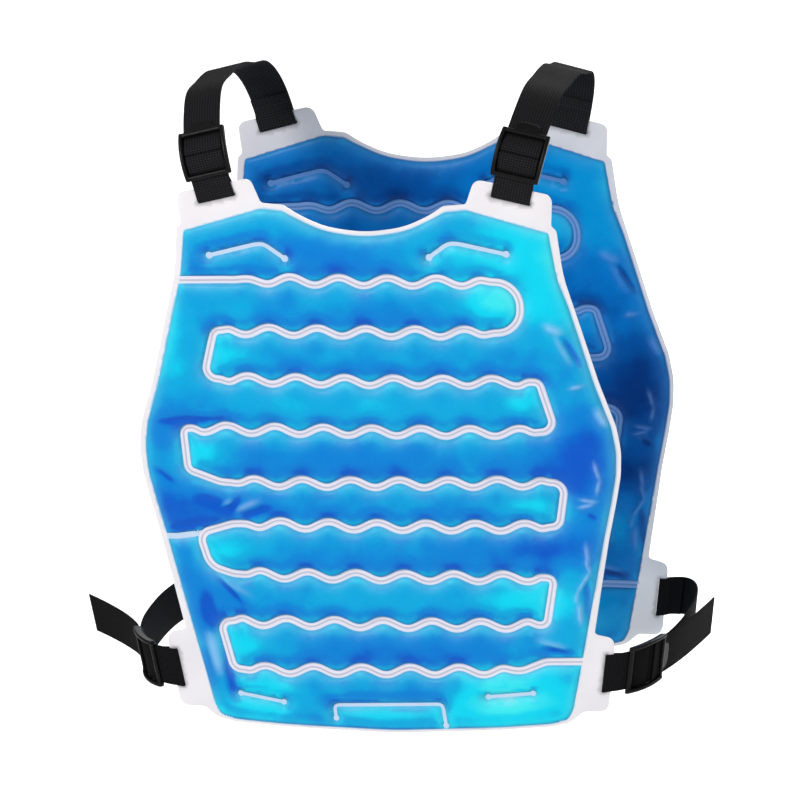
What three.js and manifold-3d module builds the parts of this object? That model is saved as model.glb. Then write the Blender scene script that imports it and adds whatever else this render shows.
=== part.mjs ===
import * as THREE from "three";
import { mergeVertices } from "three/addons/utils/BufferGeometryUtils.js";
import Module from "manifold-3d";

// A gel cooling vest: two welded film panels, front and rear, with gel in three joined-up
// compartments each, two webbing straps over the shoulders and two at the sides, each with a
// slide buckle near the front panel. The wearer faces -Y, +Z is up, and x grows to the viewer's
// right. The origin is midway between the shoulder straps, level with their undersides.

const wasm = await Module();
wasm.setup();

// Panel sizes, in millimetres
const panelWidth = 398;
const panelHeight = 420;
const panelSpacing = 220;
const panelBow = 8;
const filmThickness = 2;
const rimWidth = 5.5;
const gelThickness = 11;
const pillowSlope = 8;

// Welds
const weldWidth = 6.4;
const waveHeight = 3.3;
const waveLength = 40.3;
const waveCrest = 17;
const turnRadius = 20;
const cornerRadius = 6.5;
const turnStep = 6;
const roundShare = 0.48;
const miterLimit = 0.6;

// Tabs and their slots: a slot stands off the panel's edge, at a share of its half width or height
const shoulderSlotShare = 0.6065;
const shoulderSlotStand = 12.91;
const shoulderTabLength = 63;
const shoulderTabRise = 11.5;
const shoulderTabFlare = 4;
const shoulderSlope = 13.8;
const sideSlotShare = 0.8786;
const sideSlotStand = 14.28;
const sideTabLength = 57;
const sideTabRise = 8;
const sideTabFlare = 1;
const sideSlope = 9;
const slotWidth = 4;
const slotEase = 2;
const tabRadius = 8;
const cornerSteps = 2;

// Webbing
const webWidth = 32;
const webThickness = 1.5;
const tailLength = 17;
const shoulderRise = 79;
const shoulderLean = 14;
const sideReach = 46;
const sideLean = 7;
const archPower = 0.85;
const strapStep = 8;
const rightFlapOut = 61;
const rightFlapBack = 146;
const leftFlapOut = 100;
const leftFlapBack = 112;
const flapPull = 30;
const flapSpring = 4;
const archPoints = 400;
const loopSteps = 4;

// Slide buckles
const buckleLength = 40;
const buckleStart = 19;
const railWidth = 3;
const railDepth = 5.5;
const barWidth = 5;
const barDepth = 2.4;
const endBarWidth = 3;
const liftShare = 0.75;
const clearance = 0.3;

const halfWidth = panelWidth / 2;
const midSpacing = panelSpacing / 2;
const slotLength = webWidth + slotEase;
const gelColour = "#0aa2e6";
const rearGelColour = "#0561a6";
const filmColour = "#e6e3ea";
const webColour = "#1c1c1e";
const buckleColour = "#141416";

// Half outline of a panel's film: across as a share of half the width, up as one of the height.
const outlineColumns = ["across", "up"];
const outlineTable = [
  [0, 0],
  [0.165, 0.012],
  [0.266, 0.033],
  [0.332, 0.0535],
  [0.427, 0.058],
  [0.777, 0.008],
  [0.804, -0.086],
  [0.864, -0.19],
  [0.925, -0.298],
  [0.985, -0.385],
  [1, -0.435],
  [0.993, -0.485],
  [0.968, -0.54],
  [0.932, -0.61],
  [0.844, -0.817],
  [0.772, -0.948],
  [0.745, -0.972],
  [0.69, -0.983],
  [0.552, -0.99],
  [0, -1],
];

// Course of the long weld: corners as shares of half the width and of the height, from the left
// rim down to the right one, with the corner's radius and 1 or -1 on a waved row that follows it.
const weldColumns = ["across", "up", "radius", "wave"];
const weldTable = [
  [-0.9, -0.101, 0, 0],
  [-0.62, -0.0964, 0, 1],
  [0.623, -0.0964, turnRadius, 0],
  [0.623, -0.1976, turnRadius, -1],
  [-0.653, -0.1976, cornerRadius, 0],
  [-0.709, -0.2952, cornerRadius, 1],
  [0.683, -0.2952, cornerRadius, 0],
  [0.741, -0.3952, cornerRadius, -1],
  [-0.809, -0.3952, cornerRadius, 0],
  [-0.799, -0.479, cornerRadius, 0],
  [-0.66, -0.502, cornerRadius, 1],
  [0.768, -0.4952, cornerRadius, 0],
  [0.734, -0.5845, cornerRadius, -1],
  [-0.62, -0.5845, cornerRadius, 0],
  [-0.768, -0.606, cornerRadius, 0],
  [-0.73, -0.671, cornerRadius, 0],
  [-0.63, -0.6857, cornerRadius, 1],
  [0.701, -0.6857, cornerRadius, 0],
  [0.661, -0.781, cornerRadius, -1],
  [-0.702, -0.781, cornerRadius, 0],
  [-0.655, -0.878, cornerRadius, 1],
  [0.553, -0.872, cornerRadius, 0],
  [0.648, -0.854, cornerRadius, 0],
  [0.93, -0.854, 0, 0],
];
const branchCorner = 14;
const branchEnd = [-1.05, -0.612];

const column = (columns, row, name) => row[columns.indexOf(name)];

// The other coordinate of the half outline where one of them first has a given share.
function edgeShare(given, share, wanted) {
  for (let i = 1; i < outlineTable.length; i++) {
    const [a, b] = [outlineTable[i - 1], outlineTable[i]];
    const [from, to] = [a, b].map((row) => column(outlineColumns, row, given));
    if ((share - from) * (share - to) > 0 || from === to) continue;
    const [start, stop] = [a, b].map((row) => column(outlineColumns, row, wanted));
    return start + ((stop - start) * (share - from)) / (to - from);
  }
  return 0;
}

const slotReach = shoulderSlotShare * halfWidth;
const slotHeight = edgeShare("across", shoulderSlotShare, "up") * panelHeight + shoulderSlotStand;
const sideSlotDrop = sideSlotShare * panelHeight;
const sideSlotReach = edgeShare("up", -sideSlotShare, "across") * halfWidth + sideSlotStand;
const shoulderTabRoot = shoulderSlotStand + clearance;
const sideTabRoot = sideSlotStand + rimWidth / 2;

// Points of a half outline and its mirror image, counter-clockwise.
function panelOutline() {
  const right = outlineTable.map((row) => [
    column(outlineColumns, row, "across") * halfWidth,
    column(outlineColumns, row, "up") * panelHeight,
  ]);
  const left = right.slice(1, -1).map(([x, up]) => [-x, up]);
  return [...right.reverse(), ...left];
}

// Points of an open path moved sideways by a distance, to the left of its run when positive.
function offsetPath(points, distance, closed = false) {
  const count = points.length;
  const normal = (a, b) => {
    const length = Math.hypot(b[0] - a[0], b[1] - a[1]);
    return [-(b[1] - a[1]) / length, (b[0] - a[0]) / length];
  };
  return points.map((point, i) => {
    const before = points[closed ? (i + count - 1) % count : Math.max(i - 1, 0)];
    const after = points[closed ? (i + 1) % count : Math.min(i + 1, count - 1)];
    const first = before === point ? normal(point, after) : normal(before, point);
    const second = after === point ? first : normal(point, after);
    const sum = [first[0] + second[0], first[1] + second[1]];
    const scale = (2 * distance) / Math.max(sum[0] ** 2 + sum[1] ** 2, miterLimit);
    return [point[0] + sum[0] * scale, point[1] + sum[1] * scale];
  });
}

// Corners of the long weld, or of one side of it where the branch weld takes over.
function weldCorners(side) {
  const rows = weldTable.map((row) => ({
    point: [
      column(weldColumns, row, "across") * halfWidth,
      column(weldColumns, row, "up") * panelHeight,
    ],
    radius: column(weldColumns, row, "radius"),
    wave: column(weldColumns, row, "wave"),
  }));
  const end = {
    point: [branchEnd[0] * halfWidth, branchEnd[1] * panelHeight],
    radius: 0,
    wave: 0,
  };
  if (side === "upper") return [...rows.slice(0, branchCorner + 1), end];
  if (side === "lower") return [end, ...rows.slice(branchCorner)];
  return rows;
}

// The path through the corners, rounded and waved, or plain with a point every wave length.
function weldPath(corners, waved) {
  const path = [];
  corners.forEach((corner, i) => {
    const [x, up] = corner.point;
    const before = corners[i - 1];
    const after = corners[i + 1];
    if (waved && before && after && corner.radius > 0) {
      const into = new THREE.Vector2(x - before.point[0], up - before.point[1]);
      const out = new THREE.Vector2(after.point[0] - x, after.point[1] - up);
      const room = roundShare * Math.min(into.length(), out.length());
      into.normalize();
      out.normalize();
      const turn = Math.acos(THREE.MathUtils.clamp(into.dot(out), -1, 1));
      const reach = Math.min(corner.radius * Math.tan(turn / 2), room);
      const start = new THREE.Vector2(x, up).addScaledVector(into, -reach);
      const stop = new THREE.Vector2(x, up).addScaledVector(out, reach);
      const steps = Math.max(1, Math.round((turn * corner.radius) / turnStep));
      const curve = new THREE.QuadraticBezierCurve(start, new THREE.Vector2(x, up), stop);
      curve.getPoints(steps).forEach((p) => path.push([p.x, p.y]));
    } else {
      path.push([x, up]);
    }
    if (!after) return;
    const run = after.point[0] - x;
    const roundEnds = Math.max(corner.radius, after.radius, cornerRadius);
    const margin = waved ? roundEnds + waveLength / 8 : pillowSlope + 2 * weldWidth;
    const stepLength = waved ? waveLength / 2 : waveLength;
    const direction = Math.sign(run);
    if (waved && !corner.wave) return;
    if (Math.abs(run) < waveLength) return;
    const places = [];
    const low = Math.min(x, after.point[0]) + margin;
    const high = Math.max(x, after.point[0]) - margin;
    for (let k = Math.ceil((low - waveCrest) / stepLength); waveCrest + k * stepLength < high; k++)
      places.push(waveCrest + k * stepLength);
    if (direction < 0) places.reverse();
    places.forEach((place) => {
      const share = (place - x) / run;
      const level = up + share * (after.point[1] - up);
      const angle = (2 * Math.PI * (place - waveCrest)) / waveLength;
      path.push([place, level + (waved ? corner.wave * waveHeight * Math.cos(angle) : 0)]);
    });
  });
  return path;
}

// Where segment a-b crosses segment c-d, as the share along a-b, or null.
function crossing(a, b, c, d) {
  const r = [b[0] - a[0], b[1] - a[1]];
  const s = [d[0] - c[0], d[1] - c[1]];
  const cross = r[0] * s[1] - r[1] * s[0];
  if (Math.abs(cross) < 1e-9) return null;
  const share = ((c[0] - a[0]) * s[1] - (c[1] - a[1]) * s[0]) / cross;
  const other = ((c[0] - a[0]) * r[1] - (c[1] - a[1]) * r[0]) / cross;
  return share >= 0 && share < 1 && other >= 0 && other < 1 ? share : null;
}

// The outline of one compartment: a weld's edge closed by the run of the rim on its side.
function compartment(side, rimInset, weldInset, waved) {
  const toLeft = side === "whole";
  const rim = offsetPath(panelOutline(), rimInset, true);
  const edge = offsetPath(weldPath(weldCorners(side), waved), toLeft ? weldInset : -weldInset);
  const hits = [];
  for (let i = 0; i < edge.length - 1; i++)
    for (let j = 0; j < rim.length; j++) {
      const share = crossing(edge[i], edge[i + 1], rim[j], rim[(j + 1) % rim.length]);
      if (share === null) continue;
      const point = [0, 1].map((k) => edge[i][k] + share * (edge[i + 1][k] - edge[i][k]));
      hits.push({ i, j, point, at: i + share });
    }
  hits.sort((p, q) => p.at - q.at);
  const first = hits[0];
  const last = hits[hits.length - 1];
  const outline = [first.point, ...edge.slice(first.i + 1, last.i + 1), last.point];
  // The rim runs counter-clockwise, from the end of the weld's edge back to its start.
  const walk = [];
  const step = toLeft ? 1 : -1;
  const stop = toLeft ? first.j : (first.j + 1) % rim.length;
  let at = toLeft ? (last.j + 1) % rim.length : last.j;
  for (let guard = 0; guard <= rim.length; guard++) {
    walk.push(rim[at]);
    if (at === stop) break;
    at = (at + step + rim.length) % rim.length;
  }
  outline.push(...walk);
  return outline.map(([x, up]) => new THREE.Vector2(x, up));
}

function toSolid(geometry) {
  const bare = new THREE.BufferGeometry();
  bare.setAttribute("position", geometry.getAttribute("position"));
  if (geometry.index) bare.setIndex(geometry.index);
  const merged = mergeVertices(bare, 1e-4);
  return new wasm.Manifold(
    new wasm.Mesh({
      numProp: 3,
      vertProperties: new Float32Array(merged.attributes.position.array),
      triVerts: new Uint32Array(merged.index.array),
    }),
  );
}

function toGeometry(solid) {
  const mesh = solid.getMesh();
  const geometry = new THREE.BufferGeometry();
  const positions = new Float32Array(mesh.numVert * 3);
  for (let i = 0; i < mesh.numVert; i++)
    positions.set(mesh.vertProperties.subarray(i * mesh.numProp, i * mesh.numProp + 3), i * 3);
  geometry.setAttribute("position", new THREE.BufferAttribute(positions, 3));
  geometry.setIndex(new THREE.BufferAttribute(new Uint32Array(mesh.triVerts), 1));
  return geometry;
}

const neckline = webThickness / 2 - slotHeight - shoulderRise * cosDegrees(shoulderLean);

function cosDegrees(angle) {
  return Math.cos(THREE.MathUtils.degToRad(angle));
}

function sinDegrees(angle) {
  return Math.sin(THREE.MathUtils.degToRad(angle));
}

// How far a panel's edge comes towards the wearer at a distance from the middle.
function bowAt(x) {
  return panelBow * (x / halfWidth) ** 2;
}

// Every piece follows the panels' gentle bow: its depth shrinks a little away from the middle.
function bow(geometry) {
  const position = geometry.getAttribute("position");
  for (let i = 0; i < position.count; i++) {
    const share = 1 - bowAt(position.getX(i)) / midSpacing;
    position.setY(i, position.getY(i) * share);
  }
  return geometry;
}

// A flat panel shape, drawn in x and height over the neckline, stood up at a depth.
function standUp(geometry, depth) {
  geometry.rotateX(Math.PI / 2);
  geometry.translate(0, depth, neckline);
  return geometry;
}

function flatPlate(points, thickness) {
  const shape = new THREE.Shape(points);
  const options = { depth: thickness, bevelEnabled: false, steps: 1 };
  return new THREE.ExtrudeGeometry(shape, options).translate(0, 0, -thickness / 2);
}

// A rounded tab or slot: a box drawn along and out from a slot's middle, turned to its slope.
function slotShape(alongLow, alongHigh, outLow, outHigh, flare, radius) {
  const corners = [
    [alongLow - flare, outLow],
    [alongHigh + flare, outLow],
    [alongHigh, outHigh],
    [alongLow, outHigh],
  ];
  const points = [];
  corners.forEach((corner, i) => {
    const before = new THREE.Vector2(...corners[(i + 3) % 4]);
    const here = new THREE.Vector2(...corner);
    const after = new THREE.Vector2(...corners[(i + 1) % 4]);
    const start = here.clone().add(before.sub(here).setLength(radius));
    const stop = here.clone().add(after.sub(here).setLength(radius));
    points.push(...new THREE.QuadraticBezierCurve(start, here, stop).getPoints(cornerSteps));
  });
  return points;
}

// Places of the four slots: middle, and the directions along the slot and out of the panel.
function slotPlaces() {
  const places = [];
  for (const hand of [1, -1]) {
    const slope = [sinDegrees(shoulderSlope), cosDegrees(shoulderSlope)];
    places.push({
      kind: "shoulder",
      middle: [hand * slotReach, slotHeight],
      along: [slope[1], -hand * slope[0]],
      out: [hand * slope[0], slope[1]],
    });
    const lean = [sinDegrees(sideSlope), cosDegrees(sideSlope)];
    places.push({
      kind: "side",
      middle: [hand * sideSlotReach, -sideSlotDrop],
      along: hand > 0 ? [-lean[0], -lean[1]] : [-lean[0], lean[1]],
      out: [hand * lean[1], -lean[0]],
    });
  }
  return places;
}

function placed(points, place) {
  return points.map(
    (p) =>
      new THREE.Vector2(
        place.middle[0] + p.x * place.along[0] + p.y * place.out[0],
        place.middle[1] + p.x * place.along[1] + p.y * place.out[1],
      ),
  );
}

const sides = ["whole", "upper", "lower"];

// The film of one panel: rim, long weld with its branch, and four tabs with slots.
function filmGeometry() {
  const outline = panelOutline().map(([x, up]) => new THREE.Vector2(x, up));
  let film = toSolid(flatPlate(outline, filmThickness));
  for (const place of slotPlaces()) {
    const shoulder = place.kind === "shoulder";
    const half = (shoulder ? shoulderTabLength : sideTabLength) / 2;
    const rise = shoulder ? shoulderTabRise : sideTabRise;
    const root = shoulder ? shoulderTabRoot : sideTabRoot;
    const flare = shoulder ? shoulderTabFlare : sideTabFlare;
    const tab = slotShape(-half, half, -root, rise, flare, tabRadius);
    film = film.add(toSolid(flatPlate(placed(tab, place), filmThickness)));
  }
  const through = filmThickness * 3;
  for (const side of sides) {
    const window = compartment(side, rimWidth, weldWidth / 2, true);
    film = film.subtract(toSolid(flatPlate(window, through)));
  }
  for (const place of slotPlaces()) {
    const reach = slotLength / 2;
    const slot = slotShape(-reach, reach, -slotWidth / 2, slotWidth / 2, 0, slotWidth / 3);
    film = film.subtract(toSolid(flatPlate(placed(slot, place), through)));
  }
  return toGeometry(film);
}

// The pillow of gel in one compartment: a thin welded edge, sloping up to a flat crown.
function gelGeometry(side) {
  const edge = compartment(side, rimWidth + clearance, weldWidth / 2 + clearance, true);
  const inset = pillowSlope + clearance;
  const crown = compartment(side, rimWidth + inset, weldWidth / 2 + inset, false);
  for (const ring of [edge, crown])
    if (THREE.ShapeUtils.isClockWise(ring)) ring.reverse();
  const slopeFaces = THREE.ShapeUtils.triangulateShape(edge, [crown]);
  const crownFaces = THREE.ShapeUtils.triangulateShape(crown, []);
  const positions = [];
  for (const face of [1, -1]) {
    edge.forEach((p) => positions.push(p.x, p.y, (face * filmThickness) / 2));
    crown.forEach((p) => positions.push(p.x, p.y, (face * gelThickness) / 2));
  }
  const under = edge.length + crown.length;
  const index = [];
  for (const [a, b, c] of [...slopeFaces, ...crownFaces.map((f) => f.map((i) => i + edge.length))])
    index.push(a, b, c, under + c, under + b, under + a);
  edge.forEach((p, i) => {
    const next = (i + 1) % edge.length;
    index.push(under + i, under + next, next, under + i, next, i);
  });
  const geometry = new THREE.BufferGeometry();
  geometry.setAttribute("position", new THREE.Float32BufferAttribute(positions, 3));
  geometry.setIndex(index);
  return geometry;
}

// Half of a strap's arch, from the front slot straight up past its bar and over to the middle:
// the places as rise over the slots and depth, with the outward normal, evenly spaced.
function archFrames(rise, barRise, spacing) {
  const reach = midSpacing + filmThickness / 2 + clearance + webThickness / 2;
  const straight = barRise + webThickness;
  const dense = [[0, -reach]];
  for (let i = 0; i <= archPoints; i++) {
    const angle = ((Math.PI / 2) * i) / archPoints;
    dense.push([
      straight + (rise - straight) * Math.sin(angle) ** archPower,
      -reach * Math.cos(angle) ** archPower,
    ]);
  }
  const lengths = [0];
  for (let i = 1; i < dense.length; i++)
    lengths.push(
      lengths[i - 1] + Math.hypot(dense[i][0] - dense[i - 1][0], dense[i][1] - dense[i - 1][1]),
    );
  const total = lengths[lengths.length - 1];
  const steps = Math.round(total / spacing);
  const frames = [];
  for (let k = 0; k <= steps; k++) {
    const wanted = (total * k) / steps;
    let i = lengths.findIndex((length) => length >= wanted);
    i = Math.max(1, i);
    const share = (wanted - lengths[i - 1]) / (lengths[i] - lengths[i - 1]);
    const [a, b] = [dense[i - 1], dense[i]];
    const run = new THREE.Vector2(b[0] - a[0], b[1] - a[1]).normalize();
    const normal = k === 0 ? [0, -1] : k === steps ? [1, 0] : [run.y, -run.x];
    frames.push({
      along: wanted,
      place: [a[0] + share * (b[0] - a[0]), a[1] + share * (b[1] - a[1])],
      normal,
    });
  }
  return frames;
}

// A box swept through frames: across is its width, low and high its faces along the normal.
function sweptBox(frames, left, right, low, high) {
  const count = frames.length - 1;
  const box = new THREE.BoxGeometry(1, 1, count, 1, 1, count);
  const position = box.getAttribute("position");
  for (let i = 0; i < position.count; i++) {
    const frame = frames[Math.round(position.getZ(i) + count / 2)];
    const across = position.getX(i) > 0 ? left : right;
    const off = position.getY(i) > 0 ? high : low;
    const up = frame.place[0] + off * frame.normal[0];
    const depth = frame.place[1] + off * frame.normal[1];
    position.setXYZ(i, across, depth, up);
  }
  box.deleteAttribute("normal");
  box.deleteAttribute("uv");
  return mergeVertices(box, 1e-4);
}

// How far the webbing stands off its line where it climbs over the buckle's middle bar.
function buckleLift(along) {
  const middle = buckleStart + buckleLength / 2;
  const climb = buckleLength / 2 - barWidth - clearance;
  const share = THREE.MathUtils.clamp(1 - Math.abs(along - middle) / climb, 0, 1);
  return THREE.MathUtils.smoothstep(share, 0, liftShare) * (webThickness + 3 * clearance);
}

// A strap's middle line: a tail sewn to its inner face, round the front tab's bar, over the arch
// and the same at the rear.
function strapFrames(rise, barRise) {
  const arch = archFrames(rise, barRise, strapStep);
  const fine = archFrames(rise, barRise, strapStep / 2);
  const underBuckle = buckleStart + buckleLength + strapStep;
  const kept = (frame, i) => frame.along < underBuckle || (fine.length - 1 - i) % 2 === 0;
  const front = fine.filter(kept).map((frame) => {
    const lift = buckleLift(frame.along);
    return {
      place: [frame.place[0] + lift * frame.normal[0], frame.place[1] + lift * frame.normal[1]],
      normal: frame.normal,
    };
  });
  const start = front[0].place[1];
  const radius = -midSpacing - start;
  const behind = webThickness + clearance;
  const loop = fine
    .filter(({ along }) => along > barRise + 2 * webThickness && along < barRise + tailLength)
    .reverse()
    .map(({ place, normal }) => ({
      place: [place[0] - behind * normal[0], place[1] - behind * normal[1]],
      normal: [-normal[0], -normal[1]],
    }));
  loop.push({ place: [barRise + webThickness / 2, -midSpacing + radius], normal: [0, 1] });
  for (let k = 0; k <= loopSteps; k++) {
    const angle = (Math.PI * k) / loopSteps;
    loop.push({
      place: [radius - Math.sin(angle) * radius, -midSpacing + Math.cos(angle) * radius],
      normal: [-Math.sin(angle), Math.cos(angle)],
    });
  }
  const firstHalf = [...loop, ...front.slice(1)];
  const rear = [...arch].reverse().slice(1).map((frame) => ({
    place: [frame.place[0], -frame.place[1]],
    normal: [frame.normal[0], -frame.normal[1]],
  }));
  const rearLoop = [...loop].reverse().map((frame) => ({
    place: [frame.place[0], -frame.place[1]],
    normal: [frame.normal[0], -frame.normal[1]],
  }));
  return [...firstHalf, ...rear.slice(0, -1), ...rearLoop];
}

// Leans a strap or buckle drawn straight up at a slot, and moves it to its slot on the right.
function seatAtSlot(geometry, kind) {
  const shoulder = kind === "shoulder";
  const place = slotPlaces().find((p) => p.kind === kind);
  const lean = THREE.MathUtils.degToRad(shoulder ? 90 - shoulderLean : sideLean);
  const away = [Math.cos(lean), Math.sin(lean)];
  const position = geometry.getAttribute("position");
  for (let i = 0; i < position.count; i++) {
    const across = position.getX(i);
    const up = position.getZ(i);
    const x = place.middle[0] + across * place.along[0] + up * away[0];
    const z = neckline + place.middle[1] + across * place.along[1] + up * away[1];
    position.setX(i, x);
    position.setZ(i, z);
  }
  return geometry;
}

// The free end of a side strap: from under the buckle's far bar to a tip that stands off the
// strap, given as the tip's distance out from the slot and back from the front panel.
function flapGeometry(out, back) {
  const start = buckleStart + (buckleLength + barWidth) / 2;
  const stop = buckleStart + buckleLength + railDepth + strapStep / 2;
  const frames = archFrames(sideReach, sideTabRise, strapStep / 2)
    .filter((frame) => frame.along > start && frame.along < stop)
    .map((frame) => {
      const lift = buckleLift(frame.along) + webThickness + clearance;
      return {
        place: [frame.place[0] + lift * frame.normal[0], frame.place[1] + lift * frame.normal[1]],
        normal: frame.normal,
      };
    });
  const last = frames[frames.length - 1];
  const from = new THREE.Vector2(...last.place);
  const run = new THREE.Vector2(-last.normal[1], last.normal[0]);
  const tip = new THREE.Vector2(out, back - midSpacing);
  const pull = from.clone().addScaledVector(run, flapPull);
  pull.add(new THREE.Vector2(...last.normal).multiplyScalar(flapSpring));
  const curve = new THREE.QuadraticBezierCurve(from, pull, tip);
  const steps = Math.round(curve.getLength() / strapStep);
  for (let k = 1; k <= steps; k++) {
    const place = curve.getPointAt(k / steps);
    const heading = curve.getTangentAt(k / steps);
    frames.push({ place: [place.x, place.y], normal: [heading.y, -heading.x] });
  }
  const half = webWidth / 2;
  const ribbon = sweptBox(frames, -half, half, -webThickness / 2, webThickness / 2);
  return seatAtSlot(ribbon, "side");
}

function strapGeometry(kind) {
  const shoulder = kind === "shoulder";
  const frames = strapFrames(
    shoulder ? shoulderRise : sideReach,
    shoulder ? shoulderTabRise : sideTabRise,
  );
  const half = webWidth / 2;
  const ribbon = sweptBox(frames, -half, half, -webThickness / 2, webThickness / 2);
  return seatAtSlot(ribbon, kind);
}

// A slide buckle: two raised rails joined by a bar over the webbing at each end, a bar under
// it in the middle, and a lift tongue beyond the far bar.
function buckleGeometry(kind) {
  const shoulder = kind === "shoulder";
  const arch = archFrames(
    shoulder ? shoulderRise : sideReach,
    shoulder ? shoulderTabRise : sideTabRise,
    2,
  );
  const between = (low, high) => arch.filter((f) => f.along >= low - 1 && f.along <= high + 1);
  const stop = buckleStart + buckleLength;
  const inner = webWidth / 2 + clearance;
  const outer = inner + railWidth;
  const above = webThickness / 2 + clearance;
  const rails = between(buckleStart, stop).filter((frame, i) => i % 2 === 0);
  const flap = shoulder ? 0 : webThickness + clearance;
  const low = -railDepth / 3;
  const high = low + railDepth + above + flap;
  let buckle = toSolid(sweptBox(rails, inner, outer, low, high));
  buckle = buckle.add(toSolid(sweptBox(rails, -outer, -inner, low, high)));
  const middle = buckleStart + buckleLength / 2;
  const reach = inner + railWidth / 2;
  const bars = [
    [buckleStart, buckleStart + endBarWidth, above, above + barDepth],
    [middle - barWidth / 2, middle + barWidth / 2, above - barDepth, above],
    [stop - endBarWidth, stop, above + flap, above + flap + barDepth],
  ];
  for (const [from, to, under, over] of bars)
    buckle = buckle.add(toSolid(sweptBox(between(from, to), -reach, reach, under, over)));
  const tongue = between(stop - endBarWidth / 2, stop + railDepth);
  const tongueHalf = webWidth / 4;
  const lifted = above + flap + clearance;
  buckle = buckle.add(
    toSolid(sweptBox(tongue, -tongueHalf, tongueHalf, lifted, lifted + barDepth / 2)),
  );
  return seatAtSlot(toGeometry(buckle), kind);
}

function mirrored(geometry) {
  const copy = geometry.clone();
  copy.scale(-1, 1, 1);
  const index = copy.index.array;
  for (let i = 0; i < index.length; i += 3) [index[i + 1], index[i + 2]] = [index[i + 2], index[i + 1]];
  return copy;
}

const cover = (colour, roughness) => ({ color: colour, roughness, metalness: 0 });
const vest = new THREE.Group();

function addPiece(parent, name, geometry, finish) {
  const mesh = new THREE.Mesh(bow(geometry), new THREE.MeshStandardMaterial(finish));
  mesh.name = name;
  mesh.geometry.computeVertexNormals();
  parent.add(mesh);
}

const panels = [
  { name: "front", depth: -midSpacing, gel: gelColour },
  { name: "rear", depth: midSpacing, gel: rearGelColour },
];
const gelNames = { whole: "gel_long", upper: "gel_side", lower: "gel_hem" };
for (const panel of panels) {
  const group = new THREE.Group();
  const film = standUp(filmGeometry(), panel.depth);
  addPiece(group, `${panel.name}_film`, film, cover(filmColour, 0.35));
  for (const side of sides) {
    const gel = standUp(gelGeometry(side), panel.depth);
    addPiece(group, `${panel.name}_${gelNames[side]}`, gel, cover(panel.gel, 0.2));
  }
  vest.add(group);
}

for (const kind of ["shoulder", "side"]) {
  const strap = strapGeometry(kind);
  const buckle = buckleGeometry(kind);
  const group = new THREE.Group();
  addPiece(group, `${kind}_strap_left`, mirrored(strap), cover(webColour, 0.85));
  addPiece(group, `${kind}_buckle_left`, mirrored(buckle), cover(buckleColour, 0.4));
  addPiece(group, `${kind}_strap_right`, strap, cover(webColour, 0.85));
  addPiece(group, `${kind}_buckle_right`, buckle, cover(buckleColour, 0.4));
  vest.add(group);
}

const rightFlap = flapGeometry(rightFlapOut, rightFlapBack);
const leftFlap = mirrored(flapGeometry(leftFlapOut, leftFlapBack));
addPiece(vest, "side_flap_right", rightFlap, cover(webColour, 0.85));
addPiece(vest, "side_flap_left", leftFlap, cover(webColour, 0.85));

export default vest;
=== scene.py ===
# %% Load the frame
import math

import bpy
import numpy as np
from mathutils import Matrix, Vector, geometry, kdtree, noise


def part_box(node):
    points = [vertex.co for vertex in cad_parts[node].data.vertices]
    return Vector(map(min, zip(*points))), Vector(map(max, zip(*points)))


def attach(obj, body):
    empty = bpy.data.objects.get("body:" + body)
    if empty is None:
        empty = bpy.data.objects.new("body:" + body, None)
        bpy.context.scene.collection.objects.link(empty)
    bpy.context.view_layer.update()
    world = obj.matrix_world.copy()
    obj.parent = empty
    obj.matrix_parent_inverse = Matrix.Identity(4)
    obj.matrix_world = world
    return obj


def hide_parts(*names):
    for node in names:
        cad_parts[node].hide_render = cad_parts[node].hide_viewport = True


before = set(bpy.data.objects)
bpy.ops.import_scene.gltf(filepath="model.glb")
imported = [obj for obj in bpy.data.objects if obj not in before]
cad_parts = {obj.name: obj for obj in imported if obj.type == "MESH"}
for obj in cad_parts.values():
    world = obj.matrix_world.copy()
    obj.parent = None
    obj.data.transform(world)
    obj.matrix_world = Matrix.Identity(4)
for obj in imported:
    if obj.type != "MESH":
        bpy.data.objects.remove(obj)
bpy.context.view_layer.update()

MM = 0.001
scene = bpy.context.scene
scene.view_settings.view_transform = "Standard"

# %% [markdown]
# A gel cooling vest is two sheets of film welded together along a long snaking seam, with
# coloured gel between them. Everything here is worked out from the panel's own size: the frame
# gives the width of the film, and the tables below give the rest as shares of it. Lengths are
# in millimetres until a mesh is made, because that is how a pattern cutter thinks.

# %% Sizes of the panel
film_low, film_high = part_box("front_film")
PANEL_WIDTH = (film_high[0] - film_low[0]) / MM
HALF = PANEL_WIDTH / 2
DEPTH = 420.0
MID_SPACING = 110.0
PANEL_BOW = 8.0
FILM = 2.0
WEB_WIDTH = 32.0
WEB_THICK = 1.5
SLOT_RISE = 26.5
SLOT_REACH = 120.7
SHOULDER_RISE = 79.0
SHOULDER_LEAN = math.radians(14.0)
SHOULDER_SLOPE = math.radians(13.8)
SIDE_SLOT_DROP = 369.0
SIDE_SLOT_REACH = 175.5
SIDE_REACH = 46.0
SIDE_LEAN = math.radians(7.0)
SIDE_SLOPE = math.radians(9.0)
SHOULDER_BAR = 11.5
SIDE_BAR = 8.0
SLOT_WIDTH = 4.0
CLEARANCE = 0.3
NECK_Z = WEB_THICK / 2 - SLOT_RISE - SHOULDER_RISE * math.cos(SHOULDER_LEAN)
WELD_HALF = 3.2
WAVE_HEIGHT = 3.3
WAVE_LENGTH = 40.3
WAVE_CREST = 17.0
print("panel width", round(PANEL_WIDTH, 2), "neckline height", round(NECK_Z, 2))

# %% [markdown]
# The outline is a chain of corners, each rounded by its own radius. A large radius on a shallow
# corner gives the long soft curves of the neckline and the armholes; a small one gives the
# moulded corners of the tabs. One chain is the gel's body, the other adds the four tabs.

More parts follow.
